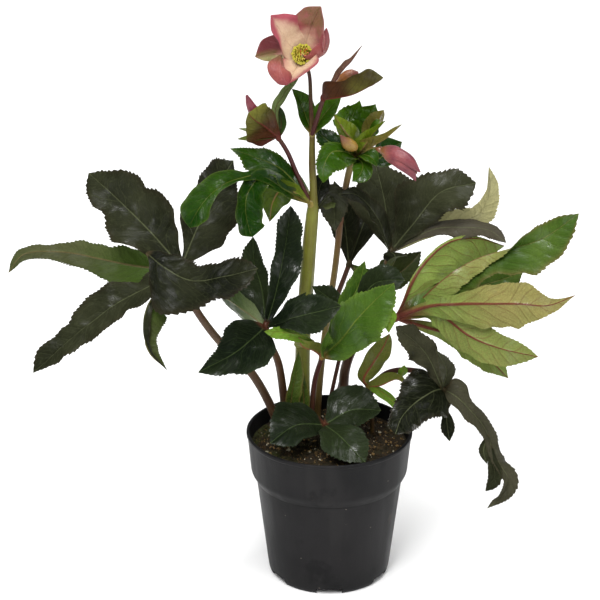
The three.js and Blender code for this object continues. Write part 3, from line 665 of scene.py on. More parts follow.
# What a leaf finish has unless its own look says otherwise. Widths are in vein spacings.
leafLook = {
    "tipShift": 0.0,  # how much the shade changes from the base to the tip
    "veinWidth": 0.055,
    "ribWidth": 0.1,
    "ribShow": 0.75,
    "edgeShow": 0.4,
    "stalkReach": 0.16,
    "roughness": 0.42,
    "gloss": 0.07,
    "coat": 0.2,
    "coatRoughness": 0.2,
    "quilt": 0.7,
    "undulate": 3.0,
    "bump": 0.00028,
}
leafNoise = {"cloud": 22.0, "grain": 420.0, "wander": 120.0, "stalkLines": 160.0, "speckles": 900.0,
             "wetPatches": 60.0, "ripples": 140.0, "swells": 50.0}


# Side veins that fork towards the margin, with a net of small veins between them.
def leafVeins(tree, look, coordinates, across, run, reach, tone):
    away = calc(tree, "ABSOLUTE", across)
    wander = centred(tree, noiseOf(tree, coordinates, leafNoise["wander"]))
    run = timesPlus(tree, wander, 0.16, run)
    gap = calc(tree, "PINGPONG", run, 0.5)
    veinWidth = fade(tree, reach, 0.0, 1.0, look["veinWidth"], 0.022)
    line = fade(tree, calc(tree, "DIVIDE", gap, veinWidth), 0.0, 1.0, 1.0, 0.0)
    fork = calc(tree, "PINGPONG", timesPlus(tree, run, 2.0, 0.2), 0.5)
    forkLine = fade(tree, calc(tree, "DIVIDE", fork, veinWidth), 0.0, 1.0, 0.8, 0.0)
    line = calc(tree, "MAXIMUM", line, times(tree, forkLine, fade(tree, reach, 0.35, 0.6)))
    cells = vectorOf(tree, times(tree, run, 2.3), times(tree, away, 1.7), times(tree, tone, 9.0))
    net = addNode(tree, "ShaderNodeTexVoronoi", {"Vector": cells, "Scale": 1.6}, feature="DISTANCE_TO_EDGE")
    netLine = fade(tree, net.outputs["Distance"], 0.0, 0.07, 1.0, 0.0)
    return away, gap, calc(tree, "MAXIMUM", line, times(tree, netLine, 0.4))


def leafColour(tree, look, cloud, coordinates, away, veins, reach, t, side, tone):
    share = timesPlus(tree, centred(tree, cloud), 2.4, tone)
    share = timesPlus(tree, centred(tree, t), look["tipShift"], share)
    share = addNode(tree, "ShaderNodeClamp", {0: share}).outputs[0]
    ribWidth = fade(tree, t, 0.0, 1.0, look["ribWidth"], 0.03)
    rib = fade(tree, calc(tree, "DIVIDE", away, ribWidth), 0.35, 1.0, 1.0, 0.0)
    upper = blendColours(tree, share, *look["upper"])
    upper = blendColours(tree, fade(tree, tone, 1.0, 1.5), upper, look["paleUpper"])
    upper = blendColours(tree, times(tree, veins, look["veinShow"][0]), upper, look["upperVein"])
    edge = times(tree, calc(tree, "POWER", reach, 9.0), look["edgeShow"])
    upper = blendColours(tree, edge, upper, look["edge"])
    upper = blendColours(tree, times(tree, rib, look["ribShow"]), upper, look["upperRib"])
    lower = blendColours(tree, share, *look["lower"])
    lower = blendColours(tree, fade(tree, t, 0.15, 0.6, 0.9, 0.0), lower, look["lowerBase"])
    lower = blendColours(tree, fade(tree, tone, 1.2, 1.8), lower, look["paleLower"])
    lower = blendColours(tree, times(tree, veins, look["veinShow"][1]), lower, look["lowerVein"])
    ribLeft = fade(tree, tone, 1.9, 2.2, 0.9, 0.15)  # the palest blades hardly show it
    lower = blendColours(tree, times(tree, rib, ribLeft), lower, look["lowerRib"])
    colour = blendColours(tree, side, lower, upper)
    foot = fade(tree, t, 0.02, look["stalkReach"], 1.0, 0.0)
    stalk = blendColours(tree, noiseOf(tree, coordinates, leafNoise["stalkLines"]), *look["stalk"])
    colour = blendColours(tree, foot, colour, stalk)
    speckle = fade(tree, noiseOf(tree, coordinates, leafNoise["speckles"], 1.0), 0.3, 0.75, 0.9, 1.12)
    return blendColours(tree, 1.0, colour, vectorOf(tree, speckle, speckle, speckle), "MULTIPLY")


def leafMaterial(name, given):
    ends = {"paleUpper": given["upper"][1], "paleLower": given["lower"][1], "lowerBase": given["lower"][1]}
    look = {**leafLook, **ends, **given}
    material, tree, shader, coordinates = newMaterial(name)
    shader.inputs["Coat Roughness"].default_value = look["coatRoughness"]
    shader.inputs["Specular IOR Level"].default_value = look["gloss"]
    across, run, tone = namedVector(tree, "vein")
    reach, t, side = namedVector(tree, "place")
    cloud = noiseOf(tree, coordinates, leafNoise["cloud"], 3.0)
    grain = noiseOf(tree, coordinates, leafNoise["grain"])
    away, gap, veins = leafVeins(tree, look, coordinates, across, run, reach, tone)
    colour = leafColour(tree, look, cloud, coordinates, away, veins, reach, t, side, tone)
    # a blade with a tone under 0 is dark and wet
    wet = fade(tree, noiseOf(tree, coordinates, leafNoise["wetPatches"]), 0.5, 0.64, 0.05, 1.0)
    wet = times(tree, wet, fade(tree, tone, -1.0, 0.0, 4.0, 1.0))
    tree.links.new(times(tree, wet, look["coat"]), shader.inputs["Coat Weight"])
    patchy = fade(tree, cloud, 0.3, 0.7, look["roughness"] - 0.08, look["roughness"] + 0.1)
    # veins are sunk above and raised below
    sink = fade(tree, side, 0.0, 1.0, 1.0, -1.0)
    bulge = times(tree, fade(tree, gap, 0.0, 0.4), fade(tree, reach, 0.85, 1.0, 1.0, 0.3))
    height = timesPlus(tree, times(tree, bulge, sink), -look["quilt"], times(tree, veins, sink))
    height = timesPlus(tree, grain, 0.35, height)
    height = timesPlus(tree, noiseOf(tree, coordinates, leafNoise["ripples"], 3.0), 0.9, height)
    height = timesPlus(tree, noiseOf(tree, coordinates, leafNoise["swells"], 1.0), look["undulate"], height)
    finishFrom(tree, shader, colour, timesPlus(tree, grain, 0.08, patchy), height, look["bump"])
    return material


leafLooks = {
    "dark_leaf": {
        "upper": ((12, 15, 6), (44, 46, 30)), "upperVein": (80, 85, 60), "upperRib": (92, 97, 68),
        "paleUpper": (72, 66, 56), "lowerBase": (58, 80, 24), "lower": ((50, 60, 26), (78, 80, 52)),
        "lowerVein": (84, 88, 54), "lowerRib": (92, 84, 54), "paleLower": (150, 146, 104),
        "edge": (46, 38, 28), "stalk": ((48, 44, 28), (70, 60, 42)), "stalkReach": 0.07,
        "veinShow": (0.34, 0.35), "veinWidth": 0.045, "ribShow": 0.55, "ribWidth": 0.075, "roughness": 0.5,
        "gloss": 0.03, "coat": 0.24, "coatRoughness": 0.26,
    },
    "gloss_leaf": {
        "upper": ((12, 20, 9), (31, 39, 20)), "upperVein": (66, 82, 50), "upperRib": (80, 96, 56),
        "lowerBase": (110, 122, 84), "lower": ((48, 64, 28), (76, 86, 44)), "lowerVein": (100, 108, 76),
        "lowerRib": (112, 104, 72), "edge": (46, 54, 38), "stalk": ((64, 34, 26), (84, 52, 36)),
        "stalkReach": 0.08, "veinShow": (0.3, 0.35), "veinWidth": 0.045, "ribShow": 0.5, "ribWidth": 0.075,
        "roughness": 0.42, "gloss": 0.04, "coat": 0.5, "coatRoughness": 0.2,
    },
    "young_leaf": {
        "upper": ((28, 56, 10), (62, 88, 26)), "upperVein": (86, 110, 36), "upperRib": (96, 110, 40),
        "lower": ((74, 90, 30), (100, 106, 46)), "paleLower": (90, 122, 36), "lowerVein": (120, 90, 52),
        "lowerRib": (130, 70, 50), "edge": (96, 118, 44), "stalk": ((118, 116, 50), (120, 70, 46)),
        "stalkReach": 0.1, "veinShow": (0.45, 0.45), "roughness": 0.38, "coat": 0.3,
    },
    "pale_leaf": {
        "upper": ((42, 70, 14), (72, 94, 32)), "upperVein": (92, 110, 48), "upperRib": (112, 110, 60),
        "lowerBase": (104, 126, 56), "paleLower": (112, 130, 60), "lower": ((108, 118, 60), (128, 122, 70)),
        "lowerVein": (112, 76, 48), "lowerRib": (98, 40, 36), "edge": (120, 92, 62),
        "stalk": ((84, 40, 36), (120, 66, 52)), "stalkReach": 0.2, "veinShow": (0.4, 0.6), "ribWidth": 0.16,
        "veinWidth": 0.06, "roughness": 0.36, "coat": 0.4,
    },
    "bract": {
        "upper": ((14, 44, 2), (66, 102, 10)), "upperVein": (84, 104, 30), "upperRib": (104, 112, 50),
        "ribShow": 0.6, "lower": ((44, 66, 5), (106, 124, 26)), "lowerBase": (96, 112, 28),
        "paleLower": (98, 80, 42), "lowerVein": (84, 78, 30), "lowerRib": (120, 96, 56),
        "edge": (88, 104, 40), "stalk": ((112, 92, 52), (128, 118, 60)), "veinShow": (0.25, 0.3),
        "ribWidth": 0.14, "roughness": 0.3, "quilt": 0.4, "undulate": 5.0, "coat": 0.9,
        "coatRoughness": 0.12,
    },
    "brown_bract": {
        "upper": ((46, 66, 26), (84, 96, 40)), "upperVein": (70, 42, 22), "upperRib": (74, 34, 26),
        "lower": ((34, 20, 7), (98, 98, 38)), "paleLower": (104, 76, 62), "paleUpper": (92, 108, 62),
        "lowerVein": (60, 34, 14), "lowerRib": (84, 34, 26), "edge": (70, 70, 24), "tipShift": 1.1,
        "stalk": ((70, 30, 26), (90, 44, 34)), "veinShow": (0.25, 0.35), "roughness": 0.42, "quilt": 0.2,
        "lowerBase": (66, 36, 16), "coat": 0.3,
    },
    "shoot": {
        "upper": ((40, 64, 16), (80, 96, 36)), "upperVein": (140, 140, 80), "upperRib": (120, 90, 56),
        "lower": ((86, 104, 26), (120, 122, 50)), "lowerVein": (120, 108, 60), "lowerRib": (130, 110, 70),
        "edge": (130, 90, 60), "stalk": ((140, 130, 70), (110, 70, 50)), "veinShow": (0.3, 0.3),
        "roughness": 0.42,
    },
}
for slotName, look in leafLooks.items():
    finishes[slotName] = leafMaterial(slotName + "Finish", look)
print("leaf materials made")

# Stems are round bodies along paths, made by one tree.
stemLook = {"sides": 18, "pointPitch": 2.0, "ridges": 5, "ridgeDepth": 0.035, "unevenness": 0.035}


def stemTree():
    tree, given = geometryTree("stemAlongPath", (
        ("Sides", "Int", 16),
        ("Ridges", "Float", 5.0),
        ("Ridge Depth", "Float", 0.03),
        ("Unevenness", "Float", 0.03),
        ("Material", "Material", None),
    ))
    line = addNode(tree, "GeometryNodeMeshToCurve", {"Mesh": given["Geometry"]}).outputs[0]
    radius = storedValue(tree, "radius")
    circle = addNode(tree, "GeometryNodeCurvePrimitiveCircle", {"Resolution": given["Sides"], "Radius": 1.0})
    index = addNode(tree, "GeometryNodeInputIndex").outputs[0]
    share = calc(tree, "DIVIDE", index, given["Sides"])
    wave = times(tree, times(tree, share, given["Ridges"]), 2 * math.pi)
    grow = timesPlus(tree, calc(tree, "COSINE", wave), given["Ridge Depth"], 1.0)
    position = positionOf(tree)
    profile = moved(tree, circle.outputs[0], Position=scaled(tree, position, grow))
    profile = storeValue(tree, profile, "around", share)
    inputs = {"Curve": line, "Profile Curve": profile, "Scale": radius, "Fill Caps": True}
    tube = addNode(tree, "GeometryNodeCurveToMesh", inputs).outputs[0]
    uneven = centred(tree, noiseOf(tree, position, 160.0, 1.0))
    size = times(tree, times(tree, uneven, given["Unevenness"]), 4.0)
    normal = addNode(tree, "GeometryNodeInputNormal").outputs[0]
    tube = moved(tree, tube, Offset=scaled(tree, normal, times(tree, size, radius)))
    finishTree(tree, tube, given["Material"])
    return tree


stemAlongPath = stemTree()


def stemMesh(branches, slotName, **changes):
    look = {**stemLook, **changes}
    points, edges, radii, along, tint = [], [], [], [], []
    for branch in branches:
        path = np.asarray(branch["path"], float)
        length = np.linalg.norm(np.diff(path, axis=0), axis=1).sum()
        count = max(6, round(length / look["pointPitch"]))
        t = np.linspace(0, 1, count + 1)
        start = len(points)
        points += list(curveAt(path, t))
        edges += [(start + i, start + i + 1) for i in range(count)]
        radii += list(spread(branch["radii"], t) * mm)
        along += list(t)
        tint += list(spread(branch["tint"], t))
    mesh = bpy.data.meshes.new("stemLine")
    mesh.from_pydata(atPlace(points).tolist(), edges, [])
    addValues(mesh, {"radius": np.array(radii), "along": np.array(along), "tint": np.array(tint)})
    return runTree(addObject("source", mesh), stemAlongPath, {
        "Sides": look["sides"],
        "Ridges": float(look["ridges"]),
        "Ridge Depth": look["ridgeDepth"],
        "Unevenness": look["unevenness"],
        "Material": finishes[slotName],
    })


def stemMaterial(name, look):
    fixed = {"Specular_IOR_Level": 0.25, "Coat_Weight": 0.06, "Coat_Roughness": 0.3}
    material, tree, shader, coordinates = newMaterial(name, **fixed)
    tint, around, along = (namedValue(tree, key) for key in ("tint", "around", "along"))
    turn = times(tree, around, 2 * math.pi)
    place = vectorOf(tree, calc(tree, "SINE", turn), calc(tree, "COSINE", turn), times(tree, along, 1.5))
    streak = noiseOf(tree, place, 5.0, 4.0)
    cloud = noiseOf(tree, coordinates, 45.0, 3.0)
    share = timesPlus(tree, centred(tree, cloud), 0.8, tint)
    share = timesPlus(tree, centred(tree, streak), 0.6, share)
    share = addNode(tree, "ShaderNodeClamp", {0: share}).outputs[0]
    colour = blendColours(tree, share, look["green"], look["red"])
    dots = addNode(tree, "ShaderNodeTexVoronoi", {"Vector": coordinates, "Scale": 750.0})
    dot = fade(tree, dots.outputs["Distance"], 0.12, 0.4, 1.0, 0.0)
    patches = fade(tree, noiseOf(tree, coordinates, 120.0), 0.42, 0.6)
    dot = times(tree, times(tree, dot, patches), look["dots"])
    colour = blendColours(tree, dot, colour, look["dotColour"])
    height = timesPlus(tree, streak, 0.8, times(tree, noiseOf(tree, coordinates, 500.0), 0.3))
    finishFrom(tree, shader, colour, fade(tree, cloud, 0.3, 0.7, 0.36, 0.52), height, 0.0003)
    return material


stemLooks = {
    "green_stem": {
        "green": (108, 112, 34), "red": (60, 19, 17), "dotColour": (86, 56, 36), "dots": 0.55,
    },
    "brown_stem": {
        "green": (112, 104, 48), "red": (92, 54, 38), "dotColour": (84, 48, 36), "dots": 0.7,
    },
    "petiole": {
        "green": (90, 74, 40), "red": (66, 34, 28), "dotColour": (60, 36, 30), "dots": 0.4,
    },
}
for slotName, look in stemLooks.items():
    finishes[slotName] = stemMaterial(slotName + "Finish", look)
print("stem materials made")

# Leaves: the petiole runs from the compost to the hub, and the leaflets from the hub outwards.
facing = (0, -0.75, 0.65)  # a blade that shows its upper side to the front
level = (0, -0.2, 0.98)  # a blade that lies flat

leaves = {
    "left": {
        "slot": "dark_leaf",
        "petiole": [(-38, 12, 88), (-40, 12, 118), (-59, 8, 163), (-88, -6, 203), (-107, -17, 240),
                    (-112, -20, 266)],
        "radii": [3.8, 3.6, 3.4, 3.1, 2.8, 2.2],
        "tint": [0.6, 0.7, 0.5, 0.6, 0.7],
        "leaflets": [
            blade([(-136, -6, 289), (-161, 12, 308), (-184, 30, 323)], (0.1, -0.8, 0.6),
                  [2, 6, 10, 14, 18, 23, 26, 24, 21, 17, 17, 16, 13, 9, 0],
                  [2, 6, 11, 17, 20, 24, 27, 25, 22, 22, 24, 21, 12, 7, 0], fold=8, wave=4.5, waves=2.6,
                  crumple=1.6, tone=0.35),
            blade([(-145, 4, 257), (-176, 8, 262), (-205, 4, 269), (-232, 2, 268), (-245, 0, 253)],
                  (0, 0.95, 0.15), [2, 12, 13, 11, 9, 6, 5, 4, 0], [2, 14, 22, 20, 14, 10, 7, 4, 0], fold=14,
                  wave=1.5),
            blade([(-135, -36, 257), (-159, -42, 246), (-191, -48, 222), (-223, -54, 194)],
                  (-0.1, -0.6, 0.8), [2, 4, 6, 8, 11, 15, 17, 17, 15, 14, 13, 13, 12, 8, 0],
                  [2, 5, 7, 8, 9, 10, 12, 15, 16, 15, 13, 12, 11, 8, 0], fold=16, wave=4,
                  bend=[0, 0, 0, 0, 40], waves=2.2, crumple=1.6),
            blade([(-134, -50, 252), (-139, -62, 234), (-134, -70, 218), (-121, -76, 206)], (0, 0.95, 0.2),
                  [2, 3, 4, 5, 6, 6, 5, 4, 3, 2, 0], [3, 12, 20, 20, 16, 13, 10, 8, 6, 3, 0], fold=8,
                  foldLeft=-150),
            blade([(-123, -42, 274), (-103, -50, 267), (-78, -54, 272), (-54, -56, 279)], (0, -0.65, 0.75),
                  [1, 7, 10, 12, 13, 13, 12, 11, 12, 13, 13, 9, 0],
                  [1, 4, 10, 20, 30, 32, 27, 23, 20, 18, 14, 9, 0], start=(-137, -34, 283), fold=5,
                  foldLeft=[50, 20, 5, 5, 5], wave=3, waves=2, toothDepth=1.3),
            blade([(-99, 12, 290), (-83, 34, 316), (-74, 45, 328)], (0, -0.8, 0.6),
                  [2, 4, 12, 16, 17, 15, 13, 10, 0], [2, 14, 24, 28, 25, 17, 9, 4, 0], wave=4, phase=2,
                  crumple=1.6),
        ],
    },
    "centre": {
        "slot": "gloss_leaf",
        "petiole": [(-33, 22, 88), (-34, 21, 118), (-39, 6, 172), (-47, -8, 200), (-49, -12, 214)],
        "radii": [3.6, 3.4, 3.0, 2.6, 2.2],
        "tint": [0.5, 0.6, 0.7, 0.9],
        "leaflets": [
            blade([(-41, -8, 242), (-34, 2, 275), (-30, 10, 304)], (0.1, -0.95, 0.3),
                  [2, 4, 6, 7, 8, 8, 9, 8, 0], [2, 4, 7, 11, 14, 14, 12, 9, 0], fold=22),
            blade([(-52, 4, 237), (-58, 12, 257), (-59, 18, 276)], (-0.2, -0.9, 0.3),
                  [2, 9, 14, 16, 15, 12, 9, 5, 0], [2, 3, 5, 6, 8, 8, 6, 4, 0], fold=12),
            blade([(-71, -42, 206), (-99, -62, 198)], (0, -0.6, 0.8), [2, 13, 21, 26, 26, 22, 16, 9, 0],
                  [3, 14, 20, 19, 15, 11, 7, 3, 0], wave=2.5, waves=1.4),
            blade([(-23, -30, 230), (8, -36, 241)], (0, -0.7, 0.7), [2, 5, 9, 12, 14, 14, 12, 8, 0],
                  [2, 3, 6, 10, 14, 17, 16, 10, 0]),
            blade([(-33, -20, 228), (-18, -18, 245)], (0, -0.5, 0.85), half=6),
            blade([(-70, 0, 226), (-86, 10, 233)], (0, 0.85, 0.5), [2, 5, 8, 11, 13, 12, 9, 5, 0],
                  [2, 6, 10, 15, 18, 18, 15, 10, 0]),
        ],
    },
    "young_front": {
        "slot": "young_leaf",
        "petiole": [(-14, 14, 88), (-14, 14, 118), (-12, 8, 156), (-6, -4, 185)],
        "radii": [2.3, 2.2, 2.0, 1.9],
        "tint": [0.8, 0.9, 1.0],
        "leaflets": [
            blade([(8, -14, 203), (20, -20, 223), (34, -22, 240), (48, -20, 253)], (-0.2, -0.9, 0.35),
                  [2, 5, 8, 11, 14, 16, 17, 16, 13, 9, 6, 3, 0],
                  [2, 8, 12, 15, 18, 21, 22, 22, 21, 18, 14, 8, 0], fold=10, wave=1.5, crumple=1.5),
            blade([(12, 4, 221), (22, 14, 237), (27, 20, 255)], (0, -0.95, 0.3), [2, 4, 7, 9, 9, 9, 8, 5, 0],
                  [2, 4, 6, 8, 10, 10, 6, 3, 0], fold=15),
            blade([(-22, -24, 211), (-33, -30, 216), (-50, -34, 219)], (0, 0.6, -0.8),
                  [2, 4, 6, 7, 7, 6, 6, 4, 0], [2, 4, 5, 6, 6, 6, 5, 4, 0], start=(-13, -16, 203), fold=10,
                  tone=2.5),
            blade([(-12, -12, 194), (-21, -24, 203), (-24, -28, 212)], (0.2, 0.8, 0.5), half=8, fold=20,
                  teeth=False, tone=0.9),
            blade([(-6, -18, 200), (-2, -26, 216)], (0.5, -0.7, 0.5), half=7, fold=30),
            blade([(44, -30, 230), (44, -32, 217)], (-0.3, 0.9, -0.3), start=(39, -24, 236), half=6,
                  teeth=False, tone=2.5),
        ],
    },
    "right": {
        "slot": "pale_leaf",
        "petiole": [(12, 30, 88), (12, 30, 118), (13, 34, 158), (27, 28, 190), (51, 20, 207)],
        "radii": [4.4, 4.2, 3.9, 3.3, 2.6],
        "tint": [0.4, 0.6, 0.9, 1.0],
        "leaflets": [
            blade([(76, 6, 223), (97, -4, 229), (120, -12, 233), (143, -18, 235), (165, -20, 235),
                   (185, -20, 243)], (0, 0.95, 0), [2, 5, 9, 13, 17, 20, 22, 22, 19, 14, 8, 4, 0],
                  [2, 3, 4, 6, 8, 11, 14, 16, 16, 13, 7, 2, 0], fold=6, wave=1.5, toothDepth=0.5),
            blade([(76, 12, 217), (90, 8, 212), (107, 0, 201), (130, -10, 195), (159, -20, 192)],
                  (0, 0.95, -0.1), [2, 4, 7, 10, 12, 13, 14, 15, 14, 10, 0],
                  [2, 3, 4, 5, 7, 9, 11, 12, 11, 8, 0], fold=6, wave=1.5, toothDepth=0.6),
            blade([(68, 26, 218), (83, 28, 232), (97, 30, 243), (116, 32, 253), (142, 34, 260),
                   (166, 36, 268), (192, 36, 288)], (0, -0.9, 0.4),
                  [2, 4, 8, 11, 13, 14, 14, 12, 10, 8, 8, 10, 11, 8, 0],
                  [2, 5, 9, 13, 17, 20, 21, 19, 17, 17, 20, 25, 19, 12, 0], fold=8,
                  foldLeft=[165, 165, 165, 165, 160, 140, 55, 15, 10], wave=1.5),
            blade([(56, 24, 216), (67, 32, 238), (80, 40, 252), (95, 46, 261), (114, 50, 262),
                   (137, 52, 255)], (0, 0.95, 0), [2, 4, 8, 14, 20, 25, 29, 30, 29, 24, 0],
                  [2, 1, 1, 2, 2, 2, 2, 2, 2, 1, 0], fold=6, tone=1.8),
            blade([(101, 24, 189), (123, 18, 175), (140, 10, 160)], (0, 0.95, 0), half=13, tone=1.8),
            blade([(70, 22, 217), (94, 34, 222), (118, 42, 225), (138, 48, 229), (152, 50, 234)], facing,
                  [2, 6, 9, 11, 13, 14, 14, 13, 10, 0], [2, 8, 12, 15, 16, 16, 15, 13, 9, 0], fold=10),
        ],
    },
    "back_right": {
        "slot": "dark_leaf",
        "petiole": [(6, 46, 88), (6, 46, 118), (18, 52, 167), (38, 58, 215), (48, 60, 247)],
        "radii": [2.5, 2.4, 2.3, 2.2, 2.0],
        "tint": [0.9, 1.0, 0.8, 0.3],
        "leaflets": [
            blade([(36, 40, 284), (21, 24, 307), (6, 16, 311)], (0.4, -0.6, 0.7),
                  [2, 4, 8, 11, 12, 12, 9, 5, 0], [2, 8, 9, 8, 6, 6, 5, 3, 0], fold=18),
            blade([(44, 80, 280), (36, 104, 308)], (0, -0.9, 0.45), half=26, fold=8, wave=3),
            blade([(66, 66, 268), (87, 72, 292), (115, 75, 299)], (0, -0.8, 0.6),
                  [2, 7, 13, 22, 25, 20, 15, 11, 0], [2, 4, 7, 10, 15, 17, 18, 17, 0], fold=8, wave=3,
                  crumple=1.4, toothDepth=1.3),
            # painted sheen: this level blade's tone over 1 pales its upper side to stand for the sheen of the
            # light above it
            blade([(79, 62, 264), (106, 58, 268), (125, 54, 267), (138, 48, 259)], level,
                  [2, 6, 10, 16, 20, 18, 15, 8, 0], [2, 3, 6, 9, 12, 11, 9, 5, 0], fold=-12, tone=1.3),
            blade([(92, 90, 259), (118, 96, 264), (128, 100, 282), (127, 102, 303)], (0.4, 0.85, 0.2),
                  [2, 5, 8, 10, 10, 10, 11, 9, 6, 4, 0], [2, 5, 8, 10, 9, 7, 6, 5, 4, 3, 0],
                  fold=[10, 10, 10, 30, 50], ribDepth=0.4, tone=2.5),
            blade([(51, 46, 247), (40, 36, 230)], (0, 0.6, 0.8), half=9),
        ],
    },
    "back": {
        "slot": "dark_leaf",
        "petiole": [(-10, 50, 88), (-10, 50, 118), (-2, 62, 179), (16, 78, 229)],
        "radii": [2.4, 2.3, 2.2, 2.0],
        "tint": [0.8, 1.0, 0.8],
        "leaflets": [
            blade([(12, 92, 262), (4, 100, 292)], (0, -0.95, 0.3), half=12),
            blade([(38, 80, 214), (58, 82, 222), (74, 84, 238)], (0, 0.9, 0.3), half=16, tone=0.2),
            blade([(30, 108, 258), (40, 134, 272)], level, half=17),
        ],
    },
    "hidden": {
        "slot": "gloss_leaf",
        "petiole": [(-2, 22, 88), (-2, 22, 118), (6, 18, 165), (16, 4, 216)],
        "radii": [1.7, 1.6, 1.6, 1.6],
        "tint": [1.0, 1.0],
        "leaflets": [
            blade([(31, 4, 240), (43, 2, 246), (57, 0, 247)], (0, -0.8, 0.6),
                  [2, 3, 7, 10, 12, 12, 10, 7, 0], [2, 3, 6, 8, 9, 9, 8, 6, 0]),
            blade([(2, 10, 226), (-14, 6, 240)], facing, half=8),
        ],
    },
    "low_right": {
        "slot": "dark_leaf",
        "petiole": [(26, 28, 88), (26, 28, 118), (42, 24, 156), (70, 6, 168), (87, -9, 160)],
        "radii": [2.6, 2.5, 2.3, 2.1, 1.9],
        "tint": [0.8, 1.0, 0.9],
        "leaflets": [
            blade([(73, -4, 189), (50, -14, 215)], (0.4, -0.8, 0.4), [2, 4, 7, 10, 13, 15, 14, 9, 0],
                  [2, 3, 5, 7, 9, 10, 10, 7, 0], fold=16, wave=3, waves=2.5, tone=1.15),
            blade([(89, -20, 181), (80, -34, 204)], (0.6, -0.7, 0.3), [2, 5, 8, 11, 13, 13, 10, 6, 0],
                  [3, 5, 7, 8, 7, 5, 4, 2, 0], fold=20, tone=1.1),
            blade([(78, -22, 163), (65, -36, 161), (54, -50, 155), (49, -60, 146)], (-0.1, -0.75, 0.66),
                  [4, 15, 19, 21, 22, 21, 19, 18, 16, 15, 14, 11, 0],
                  [10, 18, 22, 22, 21, 19, 16, 13, 10, 9, 8, 6, 0], fold=4, wave=2.5, crumple=1.8, quilt=0.5,
                  tone=-0.7),
            blade([(97, -16, 157), (110, -20, 145), (120, -23, 132), (125, -25, 118), (132, -27, 104),
                   (139, -28, 91), (134, -29, 77), (123, -30, 67)], (0.3, -0.8, 0.5),
                  [4, 12, 12, 8, 6, 6, 6, 6, 5, 5, 7, 8, 8, 6, 4, 2, 0],
                  [3, 5, 8, 9, 10, 9, 8, 6, 5, 5, 5, 5, 5, 5, 4, 3, 0],
                  fold=[10, 10, 24, 36, 26, -14, 26, 36, 10], wave=2.2, waves=3.5, crumple=2.4, tone=1.2),
            blade([(126, -28, 106), (128, -30, 95), (121, -32, 83)], (0.1, -0.9, 0.4),
                  [1, 3, 4, 5, 6, 6, 6, 4, 0], [1, 3, 4, 5, 6, 6, 5, 3, 0], start=(124, -25, 119), fold=28),
            blade([(119, -27, 116), (122, -27, 104)], (-0.4, -0.8, 0.3), start=(122, -24, 128), half=4,
                  fold=-20),
            blade([(90, -28, 139), (92, -34, 127)], (0.3, -0.9, 0.2), start=(89, -24, 150), half=5.5,
                  tone=0),
        ],
    },
    "low_front": {
        "slot": "gloss_leaf",
        "petiole": [(-4, 6, 88), (-4, 6, 112), (-4, -2, 124), (-4, -8, 129)],
        "radii": [1.8, 1.8, 1.7, 1.6],
        "tint": [0.8, 1.0],
        "leaflets": [
            blade([(-26, -28, 138), (-46, -43, 130)], (0.1, -0.55, 0.82), [2, 7, 11, 14, 15, 15, 13, 9, 0],
                  [4, 13, 19, 22, 22, 18, 13, 7, 0], fold=6),
            blade([(18, -2, 139), (40, -8, 141)], (0, -0.5, 0.85), [2, 8, 17, 21, 21, 18, 14, 8, 0],
                  [2, 5, 10, 14, 16, 17, 15, 10, 0], fold=6),
            blade([(8, -34, 131), (27, -52, 118)], (0, -0.45, 0.88), [2, 6, 10, 13, 16, 16, 14, 9, 0],
                  [2, 6, 11, 14, 17, 17, 14, 9, 0], fold=6),
        ],
    },
    "young_right": {
        "slot": "young_leaf",
        "petiole": [(34, 14, 88), (34, 14, 118), (33, 17, 138), (30, 18, 150)],
        "radii": [1.7, 1.6, 1.6, 1.5],
        "tint": [0.2, 0.5, 0.9],
        "leaflets": [
            blade([(27, 14, 159), (34, 10, 174), (41, 6, 188), (46, 4, 201)], (0.1, 0.95, 0.2),
                  [2, 4, 7, 8, 9, 9, 8, 5, 0], [2, 3, 5, 7, 8, 8, 7, 4, 0], fold=14, wave=1.5, teeth=False,
                  tone=0.9),
            blade([(40, 12, 154), (52, 8, 161), (60, 4, 158)], (0, 0.7, 0.6), [1, 2, 2, 2, 3, 3, 4, 3, 0],
                  [2, 5, 7, 8, 8, 8, 7, 4, 0], fold=15, teeth=False, tone=1),
            blade([(57, 6, 168), (58, 5, 174)], (0, 0.9, 0.3), start=(54, 7, 162), half=3, teeth=False,
                  tone=2.5),
            blade([(39, 12, 149), (48, 9, 143), (53, 6, 136), (52, 4, 130)], (0, 0.5, -0.8), half=3.5,
                  peak=0.4, teeth=False, tone=2.5),
        ],
    },
}


def makeLeaves():
    for number, (name, leaf) in enumerate(leaves.items()):
        rng = np.random.default_rng(100 + number)
        path, radii = leaf["petiole"], leaf["radii"]
        parts = [bladePart(path[-1], leaflet, rng) for leaflet in leaf["leaflets"]]
        parts.append(jointPart(path[-1], np.subtract(path[-1], path[-2]), radii[-1] * 1.25))
        node = "leaf_" + name
        addPiece(pieceName(node), meshOf("blades", joinParts(parts)), leaf["slot"], [node])
        node = "petiole_" + name
        stem = stemMesh([{"path": path, "radii": radii, "tint": leaf["tint"]}], "petiole")
        addPiece(pieceName(node), stem, "petiole", [node])


makeLeaves()
print("leaves made")

